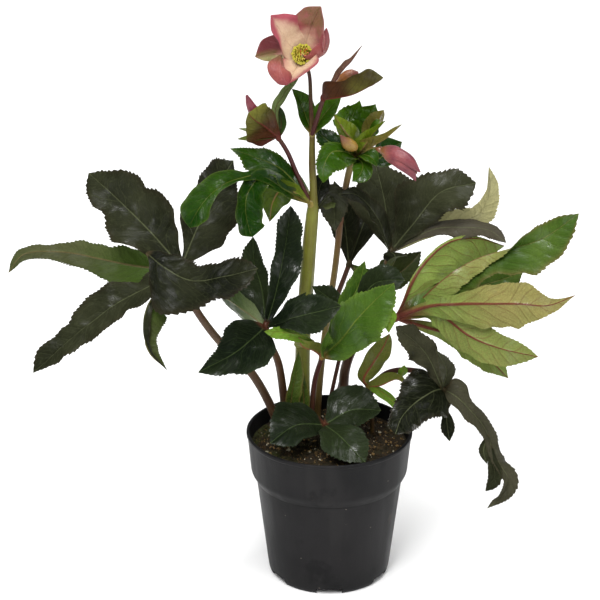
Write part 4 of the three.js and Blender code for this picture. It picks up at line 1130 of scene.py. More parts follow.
# Flowering stems: each is its main run first, then the pedicels that grow from it.
mainStem = [
    {"path": [(-21, 24, 88), (-21, 24, 123), (-21, 20, 184), (-17, 12, 257), (-14, 9, 296), (-13, 8, 313),
              (-14, 7, 339), (-14, 7, 365)],
     "radii": [5.9, 5.9, 5.8, 5.5, 4.8, 2.9, 2.6, 2.1], "tint": [0.1, 0.1, 0.15, 0.2, 0.25, 0.4, 0.55, 0.7]},
    {"path": [(-14, 7, 362), (-15, 8, 388), (-16, 8, 407), (-20, 1, 421)], "radii": [1.9, 1.5, 1.4, 1.7],
     "tint": [0.7, 0.9, 0.95, 0.9]},
    {"path": [(-15, 8, 305), (-26, 4, 333), (-33, -2, 352), (-44, -10, 372)], "radii": [2, 1.8, 1.7, 1.6],
     "tint": [0.9, 1.1, 1.1, 0.8]},
    {"path": [(-14, 6, 362), (-9, 0, 381), (-5, -4, 396), (-2, -4, 403)], "radii": [1.8, 1.7, 1.7, 1.5],
     "tint": [1.1, 1.2, 1.1, 0.8]},
]
secondStem = [
    {"path": [(-9, 34, 88), (-9, 34, 123), (-4, 40, 180), (4, 40, 239), (9, 34, 291), (15, 24, 330),
              (21, 20, 343)],
     "radii": [2.8, 2.7, 2.6, 2.5, 2.4, 2.6, 2.4], "tint": [0.5, 0.5, 0.3, 0.4, 0.8, 0.2, 0.3]},
    {"path": [(20, 20, 341), (26, 17, 346), (32, 14, 348), (38, 12, 348)], "radii": [1.7, 1.5, 1.4, 1.5],
     "tint": [0.0, 0.0]},
    {"path": [(20, 19, 342), (17, 12, 351)], "radii": [1.5, 1.3], "tint": [0.2, 0.2]},
]


def makeStems():
    addPiece("stemMain", stemMesh(mainStem, "green_stem", sides=24), "green_stem", ["stem_main"])
    addPiece("stemSecond", stemMesh(secondStem, "brown_stem", sides=20), "brown_stem", ["stem_second"])


makeStems()
print("stems made")

# Bracts are blades around a point of a flowering stem.
bractShape = {"veinPitch": 9.0, "thickness": 0.45, "quilt": 0.12}
bracts = {
    "bract_leaf_left": {
        "slot": "bract", "hub": (-14, 8, 306), "joint": 3.6,
        "blades": [
            blade([(-34, 0, 334), (-56, -4, 347), (-75, -6, 355)], (0, -0.6, 0.8),
                  [2, 6, 10, 13, 14, 12, 11, 6, 0], [2, 5, 7, 8, 9, 8, 6, 4, 0], fold=14, wave=2, crumple=2,
                  tone=0.1),
            blade([(-34, -6, 322), (-51, -18, 338), (-65, -28, 340), (-79, -36, 337), (-92, -42, 328),
                   (-100, -46, 317), (-104, -48, 308)], (0, -0.7, 0.7),
                  [2, 4, 6, 8, 7, 6, 5, 5, 7, 10, 12, 9, 0], [2, 5, 7, 6, 5, 6, 8, 10, 12, 13, 12, 9, 0],
                  fold=22, bend=20, wave=2, crumple=2.4, teeth=False, tone=-0.05),
            blade([(-34, -6, 322), (-51, -20, 337), (-61, -32, 330), (-63, -40, 319), (-61, -44, 308),
                   (-58, -46, 300)], (0.2, -0.7, 0.6), [2, 5, 9, 11, 11, 12, 13, 14, 14, 14, 13, 11, 0],
                  [2, 3, 5, 7, 8, 8, 9, 10, 11, 12, 12, 10, 0], fold=24, bend=30, wave=2, crumple=2.4,
                  teeth=False, tone=-0.2),
            blade([(-34, -4, 323), (-43, 0, 312), (-46, 6, 292)], (0.2, 0.7, 0.6), half=12, teeth=False,
                  tone=-0.1),
        ],
    },
    "bract_leaf_hanging": {
        "slot": "dark_leaf", "hub": (-11.5, 12, 300), "joint": 3,
        "blades": [
            blade([(1, 24, 306), (4, 25, 277)], (0, -0.9, 0.4), half=10, peak=0.62),
            blade([(-8, 22, 314), (-2, 24, 328)], (0, -0.9, 0.4), half=7, teeth=False),
        ],
    },
    "bracts_upper_node": {
        "slot": "bract", "hub": (-14, 7, 362), "joint": 2.6,
        "blades": [
            blade([(-19, 12, 375), (-23, 14, 385), (-29, 14, 395)], (0.3, -0.9, 0.3),
                  [2, 5, 6, 6, 5, 4, 3, 2, 0], [2, 4, 6, 8, 9, 9, 7, 4, 0], fold=24, teeth=False, tone=0.3),
            blade([(-7, 10, 373), (0, 14, 381), (8, 16, 389)], (-0.3, -0.9, 0.4),
                  [2, 5, 8, 9, 9, 8, 6, 3, 0], [2, 4, 6, 8, 8, 7, 5, 3, 0], fold=18, teeth=False, tone=0.45),
        ],
    },
    "bracts_left_bud": {
        "slot": "brown_bract", "hub": (-39, -7, 364), "joint": 2.2,
        "blades": [
            blade([(-48, -15, 375), (-55, -20, 381), (-61, -20, 387)], (0.1, 0.95, 0.15),
                  [2, 4, 6, 8, 10, 12, 13, 15, 15, 14, 14, 12, 0],
                  [15, 18, 19, 19, 18, 16, 14, 13, 11, 9, 7, 4, 0], fold=3, bend=16, bendRight=-6, wave=1.2,
                  crumple=1.2, teeth=False, tone=0.45),
            blade([(-37, -3, 372), (-38, 0, 380), (-42, 2, 387)], (-0.5, -0.8, 0.3),
                  [2, 4, 5, 6, 6, 6, 5, 3, 0], [2, 4, 5, 6, 6, 6, 5, 3, 0], cup=0.3, teeth=False, tone=0.0),
            blade([(-41, -2, 383), (-36, 0, 393), (-31, 2, 400), (-24, 4, 406)], (-0.5, -0.8, 0.3),
                  [1, 2, 3, 4, 4, 4, 3, 2, 0], [1, 2, 3, 4, 4, 4, 3, 2, 0], teeth=False, tone=1.7),
            blade([(-54, 0, 365), (-69, 2, 368)], level, half=4, teeth=False, tone=0.2),
            blade([(-54, -4, 362), (-70, -2, 361)], level, half=6, teeth=False, tone=0.4),
        ],
    },
    "bracts_right_bud": {
        "slot": "brown_bract", "hub": (-6, -3, 393), "joint": 2.2,
        "blades": [
            blade([(2, -14, 397), (16, -17, 401), (30, -13, 407), (38, -10, 411)], (0, 0.75, 0.66),
                  [2, 4, 5, 5, 5, 5, 5, 4, 0], [2, 10, 13, 13, 12, 12, 13, 10, 0], fold=30, bendRight=30,
                  wave=1.5, teeth=False, tone=0.1),
            blade([(3, 3, 405), (9, 5, 414), (15, 6, 420), (23, 7, 431)], (-0.6, 0.7, 0.3),
                  [1, 2, 3, 4, 4, 4, 3, 2, 0], [1, 2, 3, 4, 4, 4, 2, 1, 0], fold=24, teeth=False, tone=1.8),
        ],
    },
    "bracts_cluster": {
        "slot": "bract", "hub": (19, 21, 339), "joint": 3.2,
        "blades": [
            blade([(11, 8, 347), (1, -2, 351), (-5, -6, 342), (-6, -6, 328)], (0.1, -0.7, 0.7),
                  [2, 7, 11, 14, 17, 17, 12, 6, 0], [2, 4, 6, 7, 7, 7, 6, 4, 0], wave=2.5, crumple=1.6,
                  tone=0.45),
            blade([(7, 14, 348), (-4, 14, 356), (-12, 12, 365)], (0, -0.8, 0.6), half=8, tone=0.0),
            blade([(13, 10, 337), (6, 6, 334)], (0.2, 0.6, 0.7), half=11, teeth=False, tone=0.0),
            blade([(24, 10, 337), (22, 4, 331), (16, 2, 326)], (0.2, -0.7, 0.6), half=8, teeth=False,
                  tone=0.6),
            blade([(26, 8, 345), (31, 4, 344), (35, 2, 338)], (0.2, -0.6, 0.7), half=6, teeth=False,
                  tone=0.2),
            blade([(16, 16, 353), (9, 14, 364), (2, 12, 376)], (-0.4, 0.8, 0.4),
                  [2, 6, 9, 10, 9, 8, 6, 3, 0], [2, 5, 7, 7, 7, 6, 4, 2, 0], fold=24, teeth=False, tone=1.0),
            blade([(17, 28, 356), (16, 32, 366), (22, 30, 381)], (0.1, -0.9, 0.3), half=13, wave=4,
                  crumple=2.2, tone=0.6),
            blade([(24, 28, 356), (28, 30, 367), (34, 30, 378)], (-0.2, -0.9, 0.3), half=12, wave=4,
                  crumple=2.2, teeth=False, tone=0.75),
            blade([(28, 26, 351), (34, 28, 363), (40, 28, 374)], (-0.4, 0.8, 0.3),
                  [2, 4, 6, 8, 9, 9, 9, 6, 0], [2, 4, 6, 8, 9, 9, 8, 6, 0], fold=20, teeth=False, tone=1.6),
            blade([(24, 14, 349), (31, 12, 360), (41, 12, 371)], (-0.5, 0.7, 0.5),
                  [2, 3, 4, 5, 6, 5, 4, 2, 0], [2, 5, 7, 8, 8, 7, 5, 3, 0], fold=20, teeth=False, tone=0.8),
            blade([(31, 14, 350), (41, 8, 359), (53, 6, 370)], (-0.4, 0.6, 0.7), [2, 3, 4, 4, 5, 4, 3, 2, 0],
                  [2, 6, 9, 10, 10, 8, 5, 3, 0], fold=22, teeth=False, tone=1.6),
            blade([(36, 34, 333), (46, 40, 339), (55, 42, 344)], (0, -0.9, 0.4), half=10, peak=0.6,
                  teeth=False, tone=-0.3),
        ],
    },
}


def makeBracts():
    for number, (node, cluster) in enumerate(bracts.items()):
        rng = np.random.default_rng(300 + number)
        parts = [bladePart(cluster["hub"], {**bractShape, **given}, rng) for given in cluster["blades"]]
        parts.append(jointPart(cluster["hub"], (0, 0, 1), cluster["joint"]))
        addPiece(pieceName(node), meshOf("blades", joinParts(parts)), cluster["slot"], [node])


makeBracts()
print("bracts made")

# Young shoots: a round foot in the compost with a sheath on it.
shoots = {
    "shoot_left": {
        "foot": {"path": [(-30, 8, 88), (-30, 8, 112), (-30, 7, 126)], "radii": [2.4, 2.4, 2]},
        "sheath": blade([(-30, 4, 145), (-27, 0, 165), (-24, 0, 188)], (0.3, -0.9, 0.2),
                        [3, 6, 7, 7, 7, 6, 6, 4, 0], [3, 7, 8, 8, 8, 7, 6, 4, 0], fold=35),
    },
    "shoot_right": {
        "foot": {"path": [(-20, 9, 88), (-20, 9, 112), (-20, 8, 126)], "radii": [2.2, 2.2, 1.9]},
        "sheath": blade([(-20, 8, 146), (-22, 6, 172)], (-0.3, -0.9, 0.2), half=4),
    },
}


rodShape = {"sides": 16, "steps": 24, "lobes": 0, "lobeDepth": 0.09, "tone": 0.0, "streaks": 0.0}


# A round part along a path with the values that a blade has, so that both take one finish.
def rodPart(path, radii, **changes):
    shape = {**rodShape, **changes}
    sides, steps = shape["sides"], shape["steps"]
    t = np.linspace(0, 1, steps + 1)
    centre = curveAt(path, t)
    along = tangentAt(path, t)
    side = unit(np.cross(along, (0, 1, 0.1)))
    up = np.cross(side, along)
    radius = spread(radii, t)[:, None]
    angle = np.linspace(0, 2 * np.pi, sides, endpoint=False)[None, :]
    depth = shape["lobeDepth"] if shape["lobes"] else 0
    out = radius * (1 + depth * np.cos(shape["lobes"] * angle + 2 * t[:, None]))
    points = centre[:, None, :] + (out * np.cos(angle))[..., None] * side[:, None, :]
    points = points + (out * np.sin(angle))[..., None] * up[:, None, :]
    grid = np.arange((steps + 1) * sides).reshape(steps + 1, sides)
    after = np.roll(grid, -1, axis=1)
    faces = np.stack([grid[:-1], grid[1:], after[1:], after[:-1]], -1).reshape(-1, 4).tolist()
    faces += [tuple(grid[0]), tuple(grid[-1][::-1])]
    station = t[:, None] + 0 * angle
    place = np.stack([angle / np.pi + 0 * radius, station, 0 * out], -1)
    vein = np.stack([shape["streaks"] * np.cos(angle) + 0 * radius, shape["streaks"] * station,
                     shape["tone"] + 0 * out], -1)
    values = {"vein": vein.reshape(-1, 3), "place": place.reshape(-1, 3)}
    return {"points": points.reshape(-1, 3), "faces": faces, "values": values}


def makeShoots():
    for number, (node, shoot) in enumerate(shoots.items()):
        rng = np.random.default_rng(400 + number)
        foot = shoot["foot"]
        sheath = {"stalk": 3, "teeth": False, "tone": 0.5, **shoot["sheath"]}
        parts = [rodPart(foot["path"], foot["radii"]), bladePart(foot["path"][-1], sheath, rng)]
        addPiece(pieceName(node), meshOf("shoot", joinParts(parts)), "shoot", [node])


makeShoots()
print("shoots made")

# The flower, the half-open flower and the buds.
flower = {
    "receptacle": (-20, 0, 422),
    "centre": (-21, -7, 426.5),  # middle of the stamens
    "axis": (-0.12, -0.8, 0.58),
    "sepals": [
        blade([(-30, -6, 434), (-37, -12, 447), (-44, -17, 460)], (0.35, -0.8, 0.3),
              [4, 8, 9, 10, 10, 9, 8, 7, 7, 7, 6, 4, 0], [4, 9, 12, 14, 16, 17, 18, 18, 17, 15, 11, 5, 0],
              fold=12, bend=-10, wave=1.2, tone=0.1),
        blade([(-17, 0, 438), (-13, -6, 452), (-8, -12, 465)], (-0.3, -0.85, 0.2),
              [4, 10, 14, 16, 16, 14, 12, 9, 0], [4, 13, 20, 24, 24, 21, 16, 10, 0], fold=18, bend=10,
              bendRight=40, tone=0.9),
        blade([(-13, -3, 424), (-6, -8, 428), (-2, -12, 438), (-4, -15, 450)], (-0.9, 0.1, 0.2),
              [4, 10, 13, 15, 15, 14, 11, 7, 0], [4, 12, 15, 15, 14, 13, 10, 7, 0], fold=12, foldRight=25,
              bendRight=90, tone=0.6),
        blade([(-25, -10, 419), (-29, -20, 415), (-32, -26, 411)], (0.1, -0.2, 0.95),
              [4, 13, 19, 22, 22, 19, 14, 8, 0], [4, 8, 12, 14, 14, 12, 10, 7, 0], fold=28, bend=25,
              crumple=1.5, tone=0.2),
        blade([(-37, -23, 421), (-32, -29, 411)], (-0.3, 0.9, -0.1), [1, 4, 8, 10, 10, 9, 8, 6, 0],
              [1, 4, 8, 9, 9, 9, 8, 6, 0], start=(-37, -10, 428), fold=10, bend=50, crumple=1.5, tone=0.6),
        # this sepal's tone of 1.0 gives it the painted shade of a sepal lying in another's shade
        blade([(-31, 3, 425), (-42, 3, 426), (-56, -1, 424)], (0.3, -0.9, 0.3), [4, 8, 9, 9, 9, 8, 7, 5, 0],
              [4, 11, 15, 16, 15, 14, 12, 9, 0], fold=18, wave=1.5, tone=1.0),
    ],
}
halfOpen = {
    "neck": (37, 12, 348),
    "sepals": [
        blade([(41, 8, 351), (50, 3, 351), (60, -1, 345), (67, -3, 335)], (-0.3, 0.6, -0.7),
              [3, 7, 10, 12, 12, 11, 9, 6, 0], [3, 7, 10, 12, 12, 11, 9, 6, 0], fold=24, bend=95),
        blade([(41, 8, 343), (50, 3, 337), (58, 1, 332), (64, 0, 327)], (0.2, 0.5, 0.8),
              [3, 5, 7, 8, 8, 7, 6, 4, 0], [3, 5, 7, 8, 8, 7, 6, 4, 0], fold=25, bend=60),
        blade([(42, 15, 347), (52, 13, 342), (60, 9, 337), (65, 5, 331)], (-0.2, -0.9, -0.2),
              [3, 5, 7, 8, 8, 7, 6, 4, 0], [3, 5, 7, 8, 8, 7, 6, 4, 0], fold=25, bend=50),
    ],
}
sepalShape = {
    "teeth": False, "full": 0.8, "stalk": 3, "thickness": 0.8, "edgeThickness": 0.35, "rowPitch": 0.7,
    "quilt": 0.12, "veinPitch": 3.5, "ribDepth": 0.0,
}
buds = {
    "bud_left": {"path": [(-49, -11, 377), (-55, -12, 384), (-59, -14, 391), (-62, -15, 399)],
                 "radii": [3, 5.4, 4.6, 3.6, 2.6, 0.9]},
    "bud_right": {"path": [(2, -5, 402), (8, -6, 407), (13, -6, 411), (20, -6, 412)],
                  "radii": [1.4, 2.6, 4.4, 4.9, 4.6, 2.4], "tone": 1.0},
    "bud_cluster": {"path": [(18, 11, 349), (15, 7, 353), (11, 4, 357), (7, 1, 363)],
                    "radii": [2.2, 4.6, 4.8, 4.4, 2.6, 0.5], "tone": 1.4},
}
budShape = {"sides": 36, "steps": 40, "lobes": 3, "streaks": 2.5}


def sepalInside(tree, look, cloud, veins, across, reach, t, tone):
    # pink grows from the margins and the tip inwards
    margin = times(tree, calc(tree, "POWER", reach, 1.6), fade(tree, t, 0.2, 0.8, 0.4, 1.0))
    margin = timesPlus(tree, centred(tree, cloud), 0.7, margin)
    margin = calc(tree, "ADD", margin, times(tree, calc(tree, "POWER", t, 3.0), 0.75))
    blush = fade(tree, timesPlus(tree, tone, 0.5, margin), *look["blush"])
    inner = blendColours(tree, blush, look["cream"], look["pink"])
    tipShade = fade(tree, timesPlus(tree, centred(tree, cloud), 0.7, t), 0.45, 0.8)
    inner = blendColours(tree, times(tree, tipShade, tone), inner, look["olive"])
    inner = blendColours(tree, times(tree, veins, 0.5), inner, look["vein"])
    inner = blendColours(tree, fade(tree, reach, 0.9, 1.0, 0.0, 0.6), inner, look["rim"])
    # painted shade: the sepal with the highest tone lies in another's shade, so its half above the midrib is
    # painted dark red and its half below a darker cream
    shaded = calc(tree, "GREATER_THAN", tone, 0.95)
    inner = blendColours(tree, times(tree, fade(tree, across, 0.0, 1.6), shaded), inner, look["outerVein"])
    shadeBelowMidrib = times(tree, fade(tree, across, -1.2, -0.2, 0.8, 0.0), shaded)
    return blendColours(tree, shadeBelowMidrib, inner, look["paintedShadeCream"])


def sepalOutside(tree, look, cloud, veins, t, tone):
    outer = blendColours(tree, fade(tree, cloud, 0.35, 0.65), *look["outer"])
    outer = blendColours(tree, tone, outer, look["ripe"])
    outer = blendColours(tree, fade(tree, tone, 1.05, 1.25), outer, look["pale"])
    outer = blendColours(tree, fade(tree, t, 0.0, 0.45, 0.85, 0.0), outer, look["olive"])
    outer = blendColours(tree, fade(tree, t, 0.45, 1.0, 0.0, 0.8), outer, look["outerTip"])
    return blendColours(tree, times(tree, veins, 0.55), outer, look["outerVein"])


def sepalMaterial(name, given):
    # paintedShadeCream is the painted shade on the shaded sepal's lower half
    look = {"ripe": given["outer"][1], "pale": given["outer"][1], "paintedShadeCream": (138, 134, 84), **given}
    fixed = {"Specular_IOR_Level": 0.4, "Coat_Roughness": 0.12}
    fixed.update({"Sheen_Weight": look["sheen"], "Coat_Weight": look["coat"]})
    material, tree, shader, coordinates = newMaterial(name, **fixed)
    across, run, tone = namedVector(tree, "vein")
    reach, t, side = namedVector(tree, "place")
    cloud = noiseOf(tree, coordinates, 90.0, 3.0)
    fan = vectorOf(tree, times(tree, across, 2.6), times(tree, run, 0.35), times(tree, tone, 7.0))
    veinNoise = noiseOf(tree, fan, 2.2, 4.0, 0.65)
    veins = fade(tree, calc(tree, "ABSOLUTE", centred(tree, veinNoise)), 0.0, 0.05, 1.0, 0.0)
    inner = sepalInside(tree, look, cloud, veins, across, reach, t, tone)
    outer = sepalOutside(tree, look, cloud, veins, t, tone)
    colour = blendColours(tree, side, outer, inner)
    roughness = fade(tree, cloud, 0.3, 0.7, look["roughness"], look["roughness"] + 0.12)
    height = timesPlus(tree, noiseOf(tree, coordinates, 600.0), 0.25, veinNoise)
    finishFrom(tree, shader, colour, roughness, height, 0.0004)
    return material


sepalLooks = {
    "sepal": {
        "cream": (212, 186, 154), "pink": (152, 54, 72), "olive": (98, 80, 30), "vein": (150, 72, 82),
        "rim": (124, 36, 50), "outer": ((110, 32, 42), (144, 72, 62)), "outerVein": (96, 24, 30),
        "outerTip": (112, 30, 42), "blush": (0.24, 0.88), "roughness": 0.42, "coat": 0.06, "sheen": 0.1,
    },
    "bud": {
        "cream": (206, 176, 136), "pink": (160, 84, 88), "olive": (156, 116, 58), "vein": (150, 76, 76),
        "rim": (186, 144, 116), "outer": ((108, 30, 54), (140, 62, 68)), "ripe": (136, 88, 40),
        "pale": (146, 118, 46), "outerVein": (92, 20, 36), "outerTip": (88, 12, 34), "blush": (0.35, 1.05),
        "roughness": 0.36, "coat": 0.4, "sheen": 0.0,
    },
}
for slotName, look in sepalLooks.items():
    finishes[slotName] = sepalMaterial(slotName + "Finish", look)


def makeFlowers():
    rng = np.random.default_rng(500)
    parts = [bladePart(flower["receptacle"], {**sepalShape, **sepal}, rng) for sepal in flower["sepals"]]
    parts.append(jointPart(flower["receptacle"], flower["axis"], 3.6))
    addPiece("flowerSepals", meshOf("sepals", joinParts(parts)), "sepal", ["flower_sepals"])
    shape = {**sepalShape, "tone": 0.1}
    parts = [bladePart(halfOpen["neck"], {**shape, **sepal}, rng) for sepal in halfOpen["sepals"]]
    parts.append(jointPart(halfOpen["neck"], (1, 0, 0), 2.4))
    addPiece("flowerHalfOpen", meshOf("sepals", joinParts(parts)), "bud", ["flower_half_open"])
    for node, bud in buds.items():
        body = rodPart(bud["path"], bud["radii"], tone=bud.get("tone", 0.0), **budShape)
        addPiece(pieceName(node), meshOf("bud", body), "bud", [node])


makeFlowers()
print("flowers and buds made")

# Stamens: rods and balls set in rings round the flower's axis. Lengths are in millimetres. A ring has
# its count, its radius, how much its members vary in place and in scale, how far they lean outwards,
# and a kind, which picks their colour.
stamens = {
    "boss": 4.6,
    "bossFlatness": 0.7,
    "nectaries": {"count": 20, "radius": 5.1, "jitter": 0.4, "scales": (0.85, 1.15), "lean": 0.55, "kind": 0},
    "anthers": {"count": 64, "radius": 3.0, "jitter": 1.4, "scales": (0.6, 0.95), "lean": 0.3, "kind": 1},
    "styles": {"count": 5, "radius": 1.1, "jitter": 0.2, "scales": (0.9, 1.1), "lean": 0.2, "kind": 2},
    "nectary": {"radius": 0.8, "length": 4.2, "sides": 8, "flare": 1.5},
    "filament": {"radius": 0.28, "length": 5.5, "sides": 6, "flare": 0.8},
    "anther": {"radius": 0.75, "height": 5.6, "scale": (0.75, 1.0, 1.5)},
    "style": {"radius": 0.5, "length": 8.5, "sides": 6, "flare": 0.7, "bend": 30.0},
    "seed": 5,
    "green": ((136, 138, 30), (192, 182, 58)),  # nectaries
    "yellow": ((170, 154, 46), (210, 192, 86)),  # anthers
    "red": ((190, 80, 40), (206, 120, 60)),  # styles
}


def stamenMaterial():
    material, tree, shader, coordinates = newMaterial("stamenFinish")
    kind = namedValue(tree, "kind")
    tone = noiseOf(tree, coordinates, 700.0)
    green, yellow, red = (blendColours(tree, tone, *stamens[key]) for key in ("green", "yellow", "red"))
    colour = blendColours(tree, fade(tree, kind, 0.4, 0.6), green, yellow)
    colour = blendColours(tree, fade(tree, kind, 1.4, 1.6), colour, red)
    finishFrom(tree, shader, colour, fade(tree, tone, 0.3, 0.7, 0.4, 0.6), tone, 0.0002)
    return material


def stamenRing(tree, ring, count, radius, shape, seed):
    circle = addNode(tree, "GeometryNodeMeshCircle", {"Vertices": count, "Radius": radius}).outputs[0]
    jitter = ring["jitter"] * mm
    spots = moved(tree, circle, Offset=randomVector(tree, (-jitter,) * 3, (jitter,) * 3, seed))
    inputs = {0: positionOf(tree), 1: (1, 1, 0)}
    flat = addNode(tree, "ShaderNodeVectorMath", inputs, operation="MULTIPLY").outputs[0]
    outward = addNode(tree, "ShaderNodeVectorMath", {0: flat}, operation="NORMALIZE").outputs[0]
    inputs = {0: scaled(tree, outward, ring["lean"]), 1: (0, 0, 1)}
    axis = addNode(tree, "ShaderNodeVectorMath", inputs, operation="ADD").outputs[0]
    turn = addNode(tree, "FunctionNodeAlignRotationToVector", {"Vector": axis}, axis="Z").outputs[0]
    placed = instancesOn(tree, spots, shape, turn, randomNumber(tree, *ring["scales"], seed))
    real = addNode(tree, "GeometryNodeRealizeInstances", {"Geometry": placed}).outputs[0]
    return storeValue(tree, real, "kind", float(ring["kind"]))


def stamenRod(tree, rod):
    cone = addNode(tree, "GeometryNodeMeshCone", {
        "Vertices": rod["sides"],
        "Side Segments": 6,
        "Fill Segments": 2,
        "Radius Top": rod["radius"] * mm * rod["flare"],
        "Radius Bottom": rod["radius"] * mm,
        "Depth": rod["length"] * mm,
    }).outputs[0]
    height = partsOf(tree, positionOf(tree))[2]
    bent = times(tree, times(tree, height, height), rod.get("bend", 0.0))
    return moved(tree, cone, Offset=vectorOf(tree, bent))


def antherOnFilament(tree):
    anther = stamens["anther"]
    inputs = {"Radius": anther["radius"] * mm, "Subdivisions": 2}
    ball = addNode(tree, "GeometryNodeMeshIcoSphere", inputs).outputs[0]
    raised = transformed(tree, ball, Translation=(0, 0, anther["height"] * mm), Scale=anther["scale"])
    return joinGeometry(tree, (stamenRod(tree, stamens["filament"]), raised))


def stamenTree():
    tree, given = geometryTree("stamenRing", (
        ("Nectaries", "Int", 12),
        ("Nectary Ring", "Float", 0.005),
        ("Anthers", "Int", 24),
        ("Styles", "Int", 4),
        ("Seed", "Int", 1),
        ("Material", "Material", None),
    ))
    inputs = {"Segments": 24, "Rings": 12, "Radius": stamens["boss"] * mm}
    boss = addNode(tree, "GeometryNodeMeshUVSphere", inputs).outputs[0]
    boss = transformed(tree, boss, Scale=(1, 1, stamens["bossFlatness"]))
    nectary = stamenRod(tree, stamens["nectary"])
    style = stamenRod(tree, stamens["style"])
    parts = [storeValue(tree, boss, "kind", 0.0)]
    for name, count, radius, shape in (
        ("nectaries", given["Nectaries"], given["Nectary Ring"], nectary),
        ("anthers", given["Anthers"], stamens["anthers"]["radius"] * mm, antherOnFilament(tree)),
        ("styles", given["Styles"], stamens["styles"]["radius"] * mm, style),
    ):
        parts.append(stamenRing(tree, stamens[name], count, radius, shape, given["Seed"]))
    finishTree(tree, joinGeometry(tree, parts), given["Material"])
    return tree


def makeStamens():
    finishes["stamen"] = stamenMaterial()
    point = bpy.data.meshes.new("stamenPoint")
    point.from_pydata([(0, 0, 0)], [], [])
    mesh = runTree(addObject("source", point), stamenTree(), {
        "Nectaries": stamens["nectaries"]["count"],
        "Nectary Ring": stamens["nectaries"]["radius"] * mm,
        "Anthers": stamens["anthers"]["count"],
        "Styles": stamens["styles"]["count"],
        "Seed": stamens["seed"],
        "Material": finishes["stamen"],
    })
    turn = Vector(flower["axis"]).to_track_quat("Z", "Y").to_matrix().to_4x4()
    mesh.transform(Matrix.Translation(Vector(atPlace(flower["centre"]))) @ turn)
    addPiece("flowerStamens", mesh, "stamen", ["flower_stamens"])


makeStamens()
print("stamens made")

# The pot is a round body with its foot notches and drain holes cut out.
pot = {
    "height": 121,
    "rimRadius": 65,
    "lipHeight": 3,
    "lipDepth": 0.8,
    "bandLowRadius": 61.4,
    "bandLow": 88,
    "shoulderRadius": 57.2,
    "shoulder": 81,
    "bodyFootRadius": 48.4,
    "corner": 8,
    "footRadius": 45.5,
    "footInner": 42,
    "wall": 1.6,
    "floorLow": 6.5,
    "floorHigh": 8.3,
    "notches": 6,
    "notchWidth": 20,
    "notchHeight": 5,
    "notchReach": 12,
    "drainHoles": 6,
    "drainRadius": 4,
    "drainCircle": 30,
    "drainDepth": 8,
    "sides": 160,
}


potLook = {
    "black": ((14, 14, 15), (25, 24, 25)),
    "smear": (36, 35, 35),
    "blotch": (11, 11, 12),
    # painted shade for the corner under the band, and how far it reaches
    "grime": (6, 6, 6),
    "cornerShadeReach": 0.0012,
    "dust": (150, 140, 128),
    "dustPerMetre": 150.0,
    "soil": (50, 42, 36),
    "gloss": 0.12,
    "bump": 0.00025,
}


def potMaterial():
    material, tree, shader, coordinates = newMaterial("potFinish", Specular_IOR_Level=potLook["gloss"])
    cloud = noiseOf(tree, coordinates, 14.0, 4.0)
    inputs = {"Vector": coordinates, "Scale": (60, 60, 9)}
    smear = noiseOf(tree, addNode(tree, "ShaderNodeMapping", inputs).outputs[0], 1.0, 3.0)
    colour = blendColours(tree, fade(tree, cloud, 0.35, 0.65), *potLook["black"])
    colour = blendColours(tree, fade(tree, smear, 0.5, 0.7, 0.0, 0.5), colour, potLook["smear"])
    blotch = noiseOf(tree, coordinates, 34.0, 5.0, 0.65)
    colour = blendColours(tree, fade(tree, blotch, 0.56, 0.7, 0.0, 0.7), colour, potLook["blotch"])
    # painted shade: a dark line in the corner under the band, where shade falls
    corner = (pot["shoulder"] + 0.4) * mm
    fromCorner = calc(tree, "ABSOLUTE", calc(tree, "SUBTRACT", partsOf(tree, coordinates)[2], corner))
    grime = fade(tree, fromCorner, 0.0, potLook["cornerShadeReach"], 0.85, 0.0)
    colour = blendColours(tree, grime, colour, potLook["grime"])
    inputs = {"Vector": coordinates, "Scale": potLook["dustPerMetre"], "Randomness": 1.0}
    dust = addNode(tree, "ShaderNodeTexVoronoi", inputs).outputs
    chosen = calc(tree, "GREATER_THAN", partsOf(tree, dust["Color"])[0], 0.8)
    speck = times(tree, fade(tree, dust["Distance"], 0.03, 0.075, 1.0, 0.0), chosen)
    colour = blendColours(tree, times(tree, speck, 0.6), colour, potLook["dust"])
    soilMarks = fade(tree, noiseOf(tree, coordinates, 48.0, 4.0, 0.7), 0.66, 0.74, 0.0, 0.5)
    colour = blendColours(tree, soilMarks, colour, potLook["soil"])
    roughness = timesPlus(tree, speck, 0.2, fade(tree, smear, 0.3, 0.7, 0.42, 0.58))
    height = timesPlus(tree, noiseOf(tree, coordinates, 900.0), 0.4, times(tree, smear, 0.5))
    finishFrom(tree, shader, colour, roughness, height, potLook["bump"])
    return material


